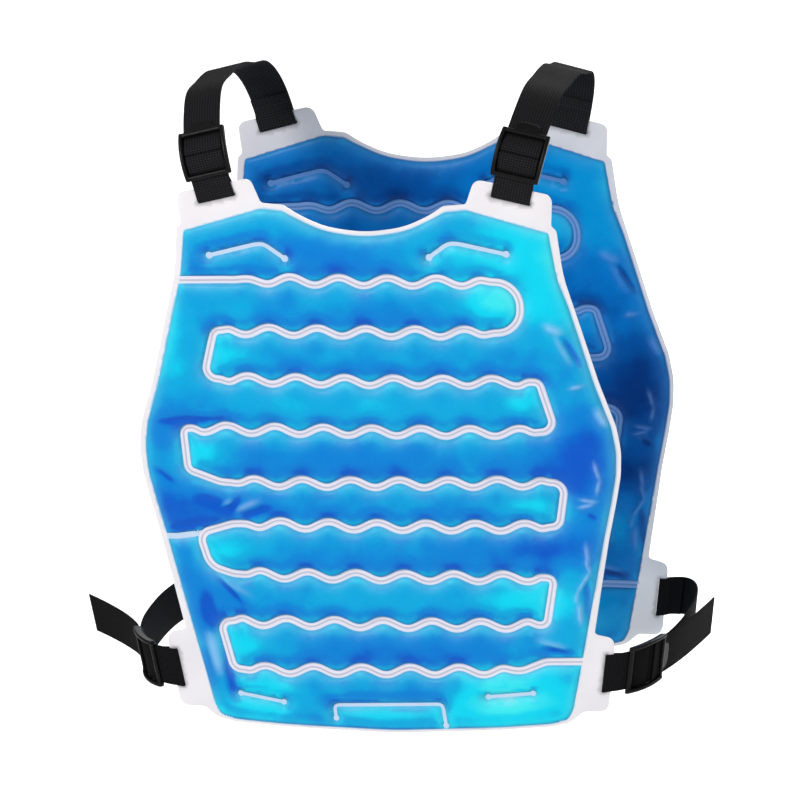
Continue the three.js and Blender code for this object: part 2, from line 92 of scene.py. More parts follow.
# %% Outline tables: across as a share of half the width, up as one of the depth, radius in mm
NECK_ROWS = [
    (0.0, 0.0, 200), (0.165, 0.0115, 160), (0.268, 0.034, 90), (0.330, 0.0535, 7),
]
SHOULDER_ROWS = [(0.428, 0.0585, 12), (0.778, 0.0085, 7)]
TAB_ROWS = [(0.424, 0.057, 3), (0.464, 0.1065, 8), (0.777, 0.0735, 8), (0.766, 0.0125, 2),
            (0.786, 0.004, 4)]
SIDE_ROWS = [
    (0.804, -0.086, 120), (0.864, -0.19, 200), (0.925, -0.298, 120), (0.985, -0.385, 40),
    (1.0, -0.435, 60), (0.993, -0.485, 60), (0.968, -0.54, 90), (0.932, -0.61, 200),
]
SIDE_TAB_ROWS = [(0.851, -0.800, 3), (0.935, -0.8095, 8), (0.892, -0.955, 9), (0.790, -0.9555, 6)]
HEM_ROWS = [(0.768, -0.955, 22), (0.735, -0.977, 18), (0.66, -0.985, 40), (0.45, -0.992, 300)]
LOW_ROW = [(0.0, -1.0, 400)]


def unit(run):
    """The same directions with length one."""
    return run / np.linalg.norm(run, axis=-1, keepdims=True)


def along_path(path):
    """How far along the path each of its points lies."""
    return np.concatenate([[0], np.cumsum(np.linalg.norm(np.diff(path, axis=0), axis=1))])


def resample(points, step, closed=False):
    """The same path with points a step apart."""
    if closed:
        points = np.vstack([points, points[:1]])
    gaps = np.linalg.norm(np.diff(points, axis=0), axis=1)
    points = points[np.concatenate([[True], gaps > 1e-6])]
    along = along_path(points)
    wanted = np.linspace(0, along[-1], max(2, int(round(along[-1] / step))) + 1)
    path = np.column_stack([np.interp(wanted, along, points[:, k]) for k in (0, 1)])
    return path[:-1] if closed else path


def corner_arc(before, corner, after, radius):
    """Where a rounded corner starts and stops, its reach along the sides, and its turn."""
    into, out = unit(corner - before), unit(after - corner)
    turn = math.acos(np.clip(into @ out, -1, 1))
    longest = 0.49 * min(np.linalg.norm(corner - before), np.linalg.norm(after - corner))
    reach = min(radius * math.tan(turn / 2), longest)
    return corner - into * reach, corner + out * reach, reach, turn


def curve(start, corner, stop, count, weight=1.0):
    """Points on the curve from start to stop that is pulled towards the corner."""
    t = np.linspace(0, 1, count)[:, None]
    parts = np.hstack([(1 - t) ** 2, 2 * weight * t * (1 - t), t * t])
    return parts @ np.array([start, corner, stop]) / parts.sum(1, keepdims=True)


def rounded(rows, step=1.2):
    """Closed outline through corners (x, z, radius), each one rounded."""
    points = [np.array(row[:2], float) for row in rows]
    arcs = []
    for i, corner in enumerate(points):
        after = points[(i + 1) % len(points)]
        start, stop, reach, _ = corner_arc(points[i - 1], corner, after, rows[i][2])
        arcs.append(curve(start, corner, stop, max(2, int(2 * reach / step)) + 1))
    return resample(np.vstack(arcs), step, closed=True)


def mirrored_rows(rows):
    """A right half's rows from the neck down, completed with the left half."""
    right = [(across * HALF, up * DEPTH, radius) for across, up, radius in rows]
    left = [(-x, z, radius) for x, z, radius in reversed(right[1:-1])]
    return right + left


body_outline = rounded(mirrored_rows(NECK_ROWS + SHOULDER_ROWS + SIDE_ROWS + HEM_ROWS + LOW_ROW))
film_outline = rounded(mirrored_rows(
    NECK_ROWS + TAB_ROWS + SIDE_ROWS + SIDE_TAB_ROWS + HEM_ROWS[1:] + LOW_ROW))
print("outline points", len(body_outline), len(film_outline))

# %% [markdown]
# The weld that makes the channels is one continuous line. Its table is a list of corners, and on
# a waved row a cosine is laid over the straight run. Rows run in opposite phase, so a crest of
# one faces a trough of the next, as on the real mould.

# %% Course of the weld
WELD_FADE = 9.0
WELD_ROWS = [
    # across, up, corner's radius in mm, and 1 or -1 where the run to the next corner is waved
    (-0.9, -0.101, 0, 0), (-0.585, -0.0964, 60, 1), (0.623, -0.0964, 20, 0),
    (0.623, -0.1976, 20, -1), (-0.653, -0.1976, 7, 0), (-0.709, -0.2952, 9, 1),
    (0.683, -0.2952, 6, 0), (0.741, -0.3952, 9, -1), (-0.809, -0.3952, 5, 0),
    (-0.799, -0.479, 7, 0), (-0.66, -0.502, 25, 1), (0.768, -0.4952, 9, 0),
    (0.734, -0.5845, 8, -1), (-0.62, -0.5845, 25, 0), (-0.768, -0.606, 9, 0),
    (-0.73, -0.671, 16, 0), (-0.63, -0.6857, 20, 1), (0.701, -0.6857, 5, 0),
    (0.661, -0.781, 6, -1), (-0.702, -0.781, 7, 0), (-0.655, -0.878, 8, 1),
    (0.553, -0.872, 20, 0), (0.648, -0.854, 20, 0), (0.93, -0.854, 0, 0),
]
BRANCH = [(-0.768, -0.606), (-0.86, -0.613), (-1.02, -0.614)]


def ramp(value, start, length):
    """0 up to the start, then a straight rise to 1 over the length."""
    return np.clip((value - start) / length, 0, 1)


def ease(share):
    """A rise from 0 to 1 with soft ends."""
    share = np.clip(share, 0, 1)
    return share * share * (3 - 2 * share)


def weld_line(rows, step=1.0):
    """Centre line of the weld, rounded at its corners and waved along its rows."""
    points = [np.array([across * HALF, up * DEPTH]) for across, up, _, _ in rows]
    arcs = [(points[0], points[0], 0.0, 0.0)]
    arcs += [corner_arc(*points[i - 1:i + 2], rows[i][2]) for i in range(1, len(points) - 1)]
    arcs.append((points[-1], points[-1], 0.0, 0.0))
    path = []
    for i, (start, stop, reach, turn) in enumerate(arcs):
        # With this weight the curve is an arc of a circle.
        path.extend(curve(start, points[i], stop, 13 if reach else 1, math.cos(turn / 2)))
        if not rows[i][3]:
            continue
        # The straight run to the next corner carries the wave, fading out near its ends.
        ends = [(stop[0], WELD_FADE + rows[i][2] / 2),
                (arcs[i + 1][0][0], WELD_FADE + rows[i + 1][2] / 2)]
        (low, fade_low), (high, fade_high) = sorted(ends)
        places = np.arange(low + 1, high - 1, step)
        if stop[0] == high:
            places = places[::-1]
        fade = ease(np.minimum((places - low) / fade_low, (high - places) / fade_high))
        wave = rows[i][3] * WAVE_HEIGHT * np.cos(math.tau * (places - WAVE_CREST) / WAVE_LENGTH)
        share = (places - points[i][0]) / (points[i + 1][0] - points[i][0])
        level = points[i][1] + share * (points[i + 1][1] - points[i][1])
        path.extend(np.column_stack([places, level + fade * wave]))
    return resample(np.array(path), step)


main_weld = weld_line(WELD_ROWS)
branch_weld = resample(np.array(BRANCH) * [HALF, DEPTH], 1.0)
print("weld length in mm", round(len(main_weld)))

# %% [markdown]
# Short spot welds keep the gel from pooling: a bent one under each shoulder, two at the hem and
# a shallow box in the middle of it. They are thinner than the channel weld and end in a dot.

# %% Spot welds: half width, then points in mm from the bottom of the neckline
DOT = 1.75
SPOT_CORNER = 3.5
BRANCH_SHARE = 0.75
SPOTS = [
    (1.7, [(-130, -20.5), (-91, -10.5), (-84, -10), (-67, -22)]),
    (1.7, [(52, -20), (68, -8.5), (76, -8.5), (115, -17.5)]),
    (1.4, [(-126, -389), (-90, -395.5)]),
    (1.4, [(80, -388.5), (117, -385.5)]),
    (1.4, [(-47, -408), (-48, -397), (42, -395), (44, -413)]),
]


def spot_path(corners):
    """Middle line of a spot weld, with its corners cut round."""
    points = [np.array(corner, float) for corner in corners]
    path = [points[0]]
    for before, corner, after in zip(points, points[1:], points[2:]):
        into, out = corner - before, after - corner
        start = corner - unit(into) * min(SPOT_CORNER, 0.45 * np.linalg.norm(into))
        stop = corner + unit(out) * min(SPOT_CORNER, 0.45 * np.linalg.norm(out))
        path.extend(curve(start, corner, stop, 3))
    return resample(np.array([*path, points[-1]]), 1.0)


spot_lines = [(half, spot_path(corners)) for half, corners in SPOTS]
print("spot welds", len(spot_lines), "dot radius in mm", [round(half * DOT, 2) for half, _ in SPOTS])

# %% [markdown]
# Three questions come up again and again: how far a point lies from a seam, which side of it the
# point is on, and whether it is inside an outline. Blender's own search tree finds the nearest
# point of a seam quickly, and the rest is plain sums on whole arrays.

# %% Distances and insides
SIDE_RIM, NECK_LESS, HEM_LESS, RIGHT_LESS = 5.3, 1.6, 2.6, 1.4


def distance_to(points, path, closed=False):
    """Distance to a path, and which side of it each point is on."""
    path = resample(path, 1.0, closed)
    if closed:
        path = np.vstack([path, path[:1]])
    tree = kdtree.KDTree(len(path))
    for i, (x, z) in enumerate(path):
        tree.insert((x, z, 0), i)
    tree.balance()
    nearest = np.array([tree.find((x, z, 0))[1] for x, z in points])
    best, side = np.full(len(points), 1e9), np.zeros(len(points))
    # The closest point lies on one of the two segments that meet at the nearest corner.
    for first in (np.maximum(nearest - 1, 0), np.minimum(nearest, len(path) - 2)):
        run, away = path[first + 1] - path[first], points - path[first]
        share = np.clip((away * run).sum(1) / np.maximum((run ** 2).sum(1), 1e-12), 0, 1)
        gap = np.linalg.norm(away - share[:, None] * run, axis=1)
        closer = gap < best
        best[closer] = gap[closer]
        side[closer] = np.sign(run[:, 0] * away[:, 1] - run[:, 1] * away[:, 0])[closer]
    return best, side


def inside(points, outline):
    """True where a point lies within a closed outline, by counting crossings."""
    result = np.zeros(len(points), bool)
    ends = np.vstack([outline[1:], outline[:1]])
    for (x0, z0), (x1, z1) in zip(outline, ends):
        spans = (z0 > points[:, 1]) != (z1 > points[:, 1])
        if z0 != z1:
            place = (x1 - x0) * (points[:, 1] - z0) / (z1 - z0) + x0
            result ^= spans & (points[:, 0] < place)
    return result


def rim_width(points):
    """The film's rim: slim at the neck and the hem, and a little slimmer down the right side."""
    top = ramp(points[:, 1], -30, 30) * ramp(-np.abs(points[:, 0]), -70, 16)
    hem = ramp(-points[:, 1], 400, 12)
    right = ramp(points[:, 0], 120, 40) * ramp(-points[:, 1], 40, 20)
    return SIDE_RIM - NECK_LESS * top - HEM_LESS * hem - RIGHT_LESS * right * (1 - hem)


body_rim = rim_width(body_outline)
print("rim in mm, slimmest and widest", round(body_rim.min(), 1), round(body_rim.max(), 1))


# %% [markdown]
# How far the film bulges is a small physics problem. A skin under even pressure, held at the
# welds, takes the shape whose curvature is the same everywhere, so the height solves Poisson's
# equation inside the channels. A few hundred relaxation sweeps on a grid find it, and a power
# below one makes the flat parabola as full as a tight tube.

# %% Inflate the channels on a grid
GRID = 1.6
OVERSHOOT = 1.85
FULLNESS = 0.66
RISE = 0.14
PILLOW_TOP = 8.0
grid_x = np.arange(-HALF - 4, HALF + 4, GRID)
grid_z = np.arange(-DEPTH - 4, 30, GRID)
mesh_x, mesh_z = np.meshgrid(grid_x, grid_z, indexing="ij")
grid_points = np.column_stack([mesh_x.ravel(), mesh_z.ravel()])


def weld_gap(points):
    """Distance outside the nearest channel weld or spot weld; negative on a weld."""
    gap = distance_to(points, main_weld)[0] - WELD_HALF
    gap = np.minimum(gap, distance_to(points, branch_weld)[0] - WELD_HALF * BRANCH_SHARE)
    for half, line in spot_lines:
        gap = np.minimum(gap, distance_to(points, line)[0] - half)
        for end in (line[0], line[-1]):
            gap = np.minimum(gap, np.linalg.norm(points - end, axis=1) - half * DOT)
    return gap


body_gap = distance_to(grid_points, body_outline, closed=True)[0]
in_body = inside(grid_points, body_outline)
grid_gap = np.minimum(weld_gap(grid_points), body_gap - rim_width(grid_points))
open_cells = (in_body & (grid_gap > 0)).reshape(mesh_x.shape)
height = np.zeros(mesh_x.shape)
parity = np.add.outer(np.arange(mesh_x.shape[0]), np.arange(mesh_x.shape[1])) % 2
for _ in range(500):
    for half in (0, 1):
        around = np.zeros_like(height)
        around[1:-1, 1:-1] = (height[2:, 1:-1] + height[:-2, 1:-1]
                              + height[1:-1, 2:] + height[1:-1, :-2])
        fresh = 0.25 * (around + GRID * GRID)
        chosen = open_cells & (parity == half)
        height[chosen] += OVERSHOOT * (fresh[chosen] - height[chosen])
crown = (2 * np.maximum(height, 0)) ** FULLNESS
pillow_grid = PILLOW_TOP * np.tanh(RISE * crown / PILLOW_TOP)
# How far uphill the nearest weld lies: 1 straight below a point, -1 straight above it.
slope_x, facing_grid = np.gradient(grid_gap.reshape(mesh_x.shape), GRID)
# Where the weld bulges towards a point the bend is positive, and where it draws back, negative.
bend_grid = np.gradient(slope_x, GRID, axis=0) + np.gradient(facing_grid, GRID, axis=1)
for _ in range(2):
    bend_grid[1:-1, 1:-1] = (bend_grid[2:, 1:-1] + bend_grid[:-2, 1:-1] + bend_grid[1:-1, 2:]
                             + bend_grid[1:-1, :-2] + bend_grid[1:-1, 1:-1]) / 5
print("pillow height in mm", round(pillow_grid.max(), 2))


def sample(field, points):
    """A grid field read between its cells."""
    fx = np.clip((points[:, 0] - grid_x[0]) / GRID, 0, len(grid_x) - 1.001)
    fz = np.clip((points[:, 1] - grid_z[0]) / GRID, 0, len(grid_z) - 1.001)
    ix, iz = fx.astype(int), fz.astype(int)
    tx, tz = fx - ix, fz - iz
    return (field[ix, iz] * (1 - tx) * (1 - tz) + field[ix + 1, iz] * tx * (1 - tz)
            + field[ix, iz + 1] * (1 - tx) * tz + field[ix + 1, iz + 1] * tx * tz)


# %% [markdown]
# Creases and colour pools are placed one by one. A crease is a short ridge or valley with soft ends,
# darkened as painted shade in its valley and lit by a painted highlight on its ridge; a pool makes the
# gel look thinner and greener, or thicker and bluer, round a place, and part of that change is painted
# light and shade.

# %% Creases and pools
CREASES = [
    # x0, z0, x1, z1, width, height
    (-182, -160, -127, -156, 2.6, -1.7), (-187, -199, -169, -211, 2.4, -1.5),
    (-181, -251, -130, -241, 2.6, -1.6), (-135, -231, -122, -224, 2.4, 1.5),
    (-126, -235, -115, -221, 2.6, -2.0), (-120, -233, -100, -224, 2.4, 1.5),
    (-113, -238, -91, -229, 2.8, -1.7), (-152, -222, -124, -232, 5.0, -1.6),
    (-143, -286, -118, -312, 2.2, -2.0), (-139, -290, -112, -304, 2.4, 1.0),
    (-150, -300, -146, -335, 5.0, -1.8), (-149, -336, -141, -372, 4.0, 2.4),
    (-137, -343, -131, -392, 3.4, -2.6), (-156, -350, -150, -392, 5.0, -1.0),
    (144, -75, 158, -82, 3.0, 2.2), (158, -85, 172, -110, 2.4, -1.8),
    (152, -84, 164, -108, 2.4, 1.2), (162, -128, 172, -126, 1.6, 2.0),
    (182, -146, 190, -160, 3.6, 2.2), (178, -190, 182, -205, 1.6, 1.9),
    (182, -205, 179, -216, 1.6, 1.9), (165, -221, 179, -223, 1.6, 2.0),
    (163, -228, 176, -225, 1.5, 1.8), (170, -233, 178, -238, 2.4, -1.4),
    (168, -259, 169, -274, 1.8, 1.8), (167, -272, 170, -282, 1.6, 1.8),
    (170, -282, 159, -299, 1.6, 2.2), (159, -299, 157, -308, 1.6, 1.8),
    (160, -308, 160, -326, 2.2, 2.2), (166, -290, 167, -326, 3.0, -1.8),
    (124, -339, 147, -346, 2.4, 1.4), (128, -346, 154, -352, 2.8, -1.6),
]
POOLS = [
    # x, z, radius across, radius up, amount; the first eight are the ends of the channels
    (109, -54, 24, 14, 0.42), (-120, -102, 20, 12, 0.26), (122, -142, 22, 12, 0.26),
    (-143, -184, 20, 12, 0.26), (130, -226, 22, 12, 0.32), (-136, -268, 20, 13, 0.18),
    (122, -305, 26, 12, 0.20), (-124, -348, 18, 14, 0.24),
    (-150, -20, 26, 30, -0.10), (110, -15, 60, 26, 0.30), (150, -50, 22, 60, 0.30),
    (-30, -20, 60, 18, -0.20), (100, -62, 26, 18, 0.22), (-165, -95, 18, 36, 0.26),
    (-120, -62, 40, 16, 0.05), (10, -62, 60, 14, -0.08), (150, -110, 20, 30, -0.14),
    (40, -104, 60, 12, -0.04), (-60, -145, 40, 14, 0.12), (20, -145, 60, 14, 0.14),
    (-175, -165, 22, 22, -0.22), (176, -170, 18, 30, -0.20), (-60, -188, 60, 14, -0.22),
    (60, -188, 60, 14, -0.12), (-150, -185, 14, 14, 0.10), (165, -200, 30, 34, -0.38),
    (-165, -232, 44, 22, -0.40), (-100, -228, 30, 12, -0.10), (-20, -228, 60, 14, -0.06),
    (120, -230, 20, 14, 0.16), (60, -225, 30, 10, -0.10), (150, -262, 46, 16, -0.38),
    (80, -265, 50, 14, -0.18), (-125, -268, 20, 16, 0.16), (-40, -268, 60, 12, -0.08),
    (-172, -300, 22, 40, -0.20), (-140, -310, 22, 18, -0.18), (-60, -308, 50, 12, 0.06),
    (110, -308, 30, 14, 0.22), (30, -308, 40, 12, 0.08), (-112, -348, 24, 14, 0.18),
    (0, -348, 70, 12, -0.22), (90, -346, 46, 14, -0.10), (150, -310, 16, 40, 0.16),
    (-150, -365, 22, 40, -0.10), (-104, -382, 26, 10, 0.34), (-60, -385, 24, 14, -0.04),
    (0, -405, 44, 8, 0.30), (98, -390, 38, 24, 0.74), (145, -385, 18, 20, 0.20),
    (30, -382, 36, 8, -0.06), (56, -398, 12, 16, 0.14), (-110, -398, 34, 12, 0.34),
    (-150, -408, 22, 10, 0.10),
]
print("creases", len(CREASES), "pools", len(POOLS))


def hump(value, height, place, spread):
    """A soft hill of that height over a place."""
    return height * np.exp(-((value - place) / spread) ** 2)


def crease_height(points):
    """Height of all the creases together, with soft ends."""
    total = np.zeros(len(points))
    for x0, z0, x1, z1, width, rise in CREASES:
        path = np.array([[x0, z0], [x1, z1]], float)
        run = path[1] - path[0]
        share = ((points - path[0]) @ run) / (run @ run)
        ends = ramp(np.minimum(share, 1 - share), -0.12, 0.4)
        total += hump(distance_to(points, path)[0], rise, 0, width) * ends
    return total


def lumps(points, scale, seed):
    """Smooth noise from about -1 to 1."""
    shift = Vector((seed * 17.3, seed * 5.1, seed * 3.7))
    return np.array([noise.noise(Vector((x / scale, z / scale, 0.0)) + shift) for x, z in points])


BASE_TINT = 0.46


def tint_of(points, gap):
    """0 for the deepest blue, 1 for the palest turquoise."""
    # The gel is thin, so pale, along a weld, and darkened just above one by painted shade.
    above = np.clip(sample(facing_grid, points), 0, 1)
    tint = BASE_TINT + 0.24 * np.exp(-np.maximum(gap, 0) / 4.0) - above * hump(gap, 0.17, 7, 5)
    # Each pool makes the gel paler or deeper, partly for its thickness and partly as painted light and
    # shade.
    for x, z, across, up, amount in POOLS:
        tint += amount * np.exp(-((points[:, 0] - x) / across) ** 2
                                - ((points[:, 1] - z) / up) ** 2)
    # Where the weld's wave draws back the gel is painted paler, as painted light, and where it bulges
    # in, deeper, as painted shade, most of all above a weld.
    bend = sample(bend_grid, points)
    tint += hump(gap, 1, 3.0, 3.2) * (0.09 * ramp(-bend, 0, 0.1)
                                      - (0.16 + 0.22 * above) * ramp(bend, 0, 0.05))
    # The valleys of the creases are darkened as painted shade.
    tint += 0.24 * np.minimum(crease_height(points), 0)
    return tint + 0.10 * lumps(points, 46.0, 2) + 0.06 * lumps(points, 14.0, 3)


# %% [markdown]
# The panel's mesh is a triangulation that follows every edge that matters: the outline, the
# slots, the welds' edges and their middle line. Blender's constrained triangulation takes those
# curves and fills the rest with an even pattern of points, so a weld stays crisp at any size.

# %% Slots and tabs
def slot_places():
    """Middle, direction along and direction outwards of each slot, in the panel's plane."""
    places = []
    for hand in (1, -1):
        c, s = math.cos(SHOULDER_SLOPE), math.sin(SHOULDER_SLOPE)
        places.append((np.array([hand * SLOT_REACH, SLOT_RISE]),
                       np.array([c, -hand * s]), np.array([hand * s, c])))
        c, s = math.cos(SIDE_SLOPE), math.sin(SIDE_SLOPE)
        places.append((np.array([hand * SIDE_SLOT_REACH, -SIDE_SLOT_DROP]),
                       np.array([-s, -hand * c]), np.array([hand * c, -s])))
    return places


slot_outlines = []
for middle, along, out in slot_places():
    reach = WEB_WIDTH / 2 + CLEARANCE
    low, high = -WEB_THICK / 3, SLOT_WIDTH / 2
    rows = [(a, o, 1.2) for a, o in ((-reach, low), (reach, low), (reach, high), (-reach, high))]
    local = rounded(rows, 0.9)
    slot_outlines.append(middle + local[:, :1] * along + local[:, 1:] * out)
print("slots", len(slot_outlines), "width in mm", round(high - low, 2))


def offset_path(path, distance, closed=False):
    """A path moved sideways, to the left of its own direction."""
    run = unit(np.roll(path, -1, 0) - np.roll(path, 1, 0) if closed else np.gradient(path, axis=0))
    return path + distance * np.column_stack([-run[:, 1], run[:, 0]])


# %% [markdown]
# A fold or a bead needs edges that run along it, or its light and shade turn jagged. So the
# curves that Blender keeps as edges include lines on each side of a weld and of a crease, and a
# hexagonal pattern of points fills what lies between, thinned out beside them.

# %% Triangulate the panel
def panel_triangles():
    """Flat points and triangles of the whole panel."""
    step, weld_shares = 2.4, (0, 0.5, -0.5, 1, -1, 1.4, -1.4, 1.9, -1.9)
    vertices, edges = [], []

    def add(path, closed=False):
        first = len(vertices)
        vertices.extend(path.tolist())
        count = len(path)
        edges.extend((first + i, first + i + 1) for i in range(count - 1))
        if closed:
            edges.append((first + count - 1, first))

    add(resample(film_outline, 1.6, True), True)
    for slot in slot_outlines:
        add(slot, True)
    inwards = 1 if inside(offset_path(body_outline, 1.0, True)[:1], body_outline)[0] else -1
    for further in (0, 1.4, 3.2):
        edge = offset_path(body_outline, inwards * (body_rim + further)[:, None], True)
        add(resample(edge, step, True), True)
    weld = resample(main_weld, 2.0)
    for share in weld_shares:
        add(offset_path(weld, share * WELD_HALF))
    branch = resample(branch_weld, 2.0)
    for share in (-BRANCH_SHARE, 0, BRANCH_SHARE):
        add(offset_path(branch, share * WELD_HALF)[2:])
    for half, line in spot_lines:
        thin = resample(line, 1.5)
        add(np.vstack([offset_path(thin, half), offset_path(thin, -half)[::-1]]), True)
        add(thin)
        for end in (line[0], line[-1]):
            angles = np.arange(10) * math.tau / 10
            add(end + half * DOT * np.column_stack([np.cos(angles), np.sin(angles)]), True)
    for x0, z0, x1, z1, width, _ in CREASES:
        fold = resample(np.array([[x0, z0], [x1, z1]], float), 1.6)
        for share in (-1.5, -0.7, 0, 0.7, 1.5):
            add(offset_path(fold, share * width))
    fixed = np.array(vertices)
    spacing = 2.9
    heights = np.arange(-DEPTH, 50, spacing * math.sqrt(3) / 2)
    fill = np.array([(x + (spacing / 2 if i % 2 else 0), z)
                     for i, z in enumerate(heights) for x in np.arange(-HALF, HALF, spacing)])
    fill = fill[inside(fill, film_outline)]
    cell = spacing * 0.45
    taken = {(round(x / cell), round(z / cell)) for x, z in fixed}
    free = [all((round(x / cell) + a, round(z / cell) + b) not in taken
                for a in (-1, 0, 1) for b in (-1, 0, 1)) for x, z in fill]
    vertices.extend(fill[np.array(free)].tolist())
    made = geometry.delaunay_2d_cdt([Vector(v) for v in vertices], edges, [], 0, 1e-3)
    points = np.array([tuple(v) for v in made[0]])
    triangles = np.array([tuple(f) for f in made[2] if len(f) == 3])
    centres = points[triangles].mean(1)
    keep = inside(centres, film_outline)
    for slot in slot_outlines:
        keep &= ~inside(centres, slot)
    return points, triangles[keep]


flat_points, flat_triangles = panel_triangles()
centres = flat_points[flat_triangles].mean(1)
centre_gap = weld_gap(centres)
centre_rim = distance_to(centres, body_outline, closed=True)[0]
is_gel = inside(centres, body_outline) & (centre_gap > 0) & (centre_rim > rim_width(centres))
print("panel points", len(flat_points), "triangles", len(flat_triangles), "gel", int(is_gel.sum()))

# %% [markdown]
# The welds part the gel into three compartments, and each becomes an object of its own. Two
# triangles belong together when they share an edge, so joining the groups of all such pairs, one
# by one, leaves one group for each compartment.

# %% Split the gel into its compartments
def compartments(triangles):
    """Groups of triangles joined by shared edges, largest first."""
    parent = list(range(len(triangles)))

    def root(i):
        while parent[i] != i:
            parent[i] = parent[parent[i]]
            i = parent[i]
        return i

    seen = {}
    for i, tri in enumerate(triangles.tolist()):
        for a, b in ((0, 1), (1, 2), (2, 0)):
            key = (min(tri[a], tri[b]), max(tri[a], tri[b]))
            if key in seen:
                parent[root(i)] = root(seen[key])
            else:
                seen[key] = i
    labels = np.array([root(i) for i in range(len(triangles))])
    return sorted((np.where(labels == k)[0] for k in np.unique(labels)), key=len, reverse=True)


gel_triangles = flat_triangles[is_gel]
groups = compartments(gel_triangles)
print("gel groups", [len(group) for group in groups])

# %% [markdown]
# The heights come next. The film is thin at the rim and thinner on a weld, where heat has pressed
# the two sheets into one; between the welds the gel pushes both faces out. Front and back get
# different small lumps, so the panel never looks like a mirror image of itself.

# %% Heights of the two faces
def slot_gap(points):
    """Distance to the nearest slot's edge."""
    return np.min([distance_to(points, slot, closed=True)[0] for slot in slot_outlines], axis=0)


weld_distance, weld_side = distance_to(flat_points, main_weld)
point_gap = weld_gap(flat_points)
point_rim = distance_to(flat_points, body_outline, closed=True)[0]
point_rim = np.where(inside(flat_points, body_outline), point_rim, -point_rim)
point_rim -= rim_width(flat_points)
open_gap = np.minimum(point_gap, point_rim)
slot_distance = slot_gap(flat_points)
edge_gap = np.minimum(distance_to(flat_points, film_outline, closed=True)[0], slot_distance)
creases = crease_height(flat_points)
inflation = sample(pillow_grid, flat_points) * np.clip(open_gap / 0.9, 0, 1)
offset = np.clip(weld_distance / WELD_HALF, 0, 1) * weld_side
press = hump(np.maximum(point_gap, 0), 0.15, 0, 1.2)
bead = np.interp(np.abs(offset), [0, 0.5, 1], [-0.25, 0.18, -0.12]) * (point_gap < 0.05)
film_half = FILM / 2 - press + bead - hump(edge_gap, 0.55, 0, 0.45)


def face_height(seed, crease_share):
    """Half thickness in mm of one face of a panel."""
    soft = np.clip(inflation / 2.5, 0, 1)
    broad, small = lumps(flat_points, 24.0, seed), lumps(flat_points, 8.5, seed + 1)
    shape = inflation * (1 + 0.16 * broad) + soft * (0.45 * small + crease_share * creases)
    return film_half + np.maximum(shape, 0)


print("film half thickness in mm", round(film_half.min(), 2), round(film_half.max(), 2))

# %% [markdown]
# A piece is closed by giving its triangles a twin on the other face and a wall along each edge that
# only one triangle uses. The values that the materials read are stored on the points: the tint, where
# a weld is, the painted shadow round a slot, the painted highlight on a crease's ridge, how near the
# weld lies and on which side of it light and shade are painted.

# %% Build closed pieces from the flat triangles
def wall_edges(triangles):
    """Edges used once, in the direction of their triangle."""
    edges = np.vstack([triangles[:, [0, 1]], triangles[:, [1, 2]], triangles[:, [2, 0]]])
    size = triangles.max() + 1
    forward = edges[:, 0] * size + edges[:, 1]
    backward = edges[:, 1] * size + edges[:, 0]
    return edges[~np.isin(forward, backward)]


def to_world(points, depth):
    """Pattern points in mm, at a depth, bent by the panel's bow and moved into the frame."""
    bow = 1 - PANEL_BOW * (points[:, 0] / HALF) ** 2 / MID_SPACING
    return np.column_stack([points[:, 0], depth * bow, NECK_Z + points[:, 1]]) * MM


def add_object(name, vertices, faces, attributes=None):
    mesh = bpy.data.meshes.new(name)
    mesh.from_pydata([tuple(v) for v in vertices], [], [tuple(f) for f in faces])
    mesh.shade_smooth()
    mesh.set_sharp_from_angle(angle=math.radians(48))
    for key, values in (attributes or {}).items():
        layer = mesh.attributes.new(key, "FLOAT", "POINT")
        layer.data.foreach_set("value", np.asarray(values, dtype=np.float32))
    mesh.validate()
    thing = bpy.data.objects.new(name, mesh)
    scene.collection.objects.link(thing)
    return thing


def panel_piece(name, triangles, depth, low, high, attributes):
    """One closed body: the face towards -Y, the face towards +Y and the wall between them."""
    used, place = np.unique(triangles, return_inverse=True)
    local = place.reshape(-1, 3)
    a, b, c = (flat_points[used][local[:, k]] for k in range(3))
    turned = np.cross(b - a, c - a) < 0
    local[turned] = local[turned][:, [0, 2, 1]]
    count = len(used)
    points = flat_points[used]
    vertices = np.vstack([to_world(points, depth - low[used]), to_world(points, depth + high[used])])
    edges = wall_edges(local)
    faces = local.tolist() + (local[:, ::-1] + count).tolist()
    faces += [(j, i, i + count, j + count) for i, j in edges.tolist()]
    both = {key: np.tile(values[used], 2) for key, values in attributes.items()}
    return add_object(name, vertices, faces, both)


probes = {"gel_long": (0, -25), "gel_side": (-165, -150), "gel_hem": (-150, -370)}
gel_centres = flat_points[gel_triangles].mean(1)
members = {key: [] for key in probes}
for group in groups:
    middle = gel_centres[group]
    reach = {key: np.hypot(middle[:, 0] - x, middle[:, 1] - z).min() for key, (x, z) in probes.items()}
    members[min(reach, key=reach.get)].extend(group.tolist())
facing = sample(facing_grid, flat_points)
gap = np.maximum(open_gap, 0)
patchy = 0.75 + 0.5 * lumps(flat_points, 18.0, 7)
shared = {
    "tint": tint_of(flat_points, open_gap),
    # Painted highlight along the ridges of the creases.
    "painted_crease_highlight": np.clip(creases / 2.2, 0, 1),
    "offset": offset,
    "band": ((point_gap < 0.05) & (point_rim > -0.4)).astype(float),
    # Paler gel beside a weld: thin gel there, and painted light on the side below a weld, which faces
    # up.
    "glow": np.exp(-gap / 3.2) * (0.55 - 0.45 * np.clip(facing, -1, 1)) * patchy,
    # Painted shade line along a weld, strongest above it.
    "lip": hump(gap, 1, 0, 1.2) * (0.3 + 0.7 * np.clip(facing, 0, 1)),
    "inner": np.clip(-open_gap / 2.5, 0, 1),
    # Painted shadow round each slot, read by the film.
    "slot": hump(slot_distance, 1, 0, 1.7),
}
panels = {}
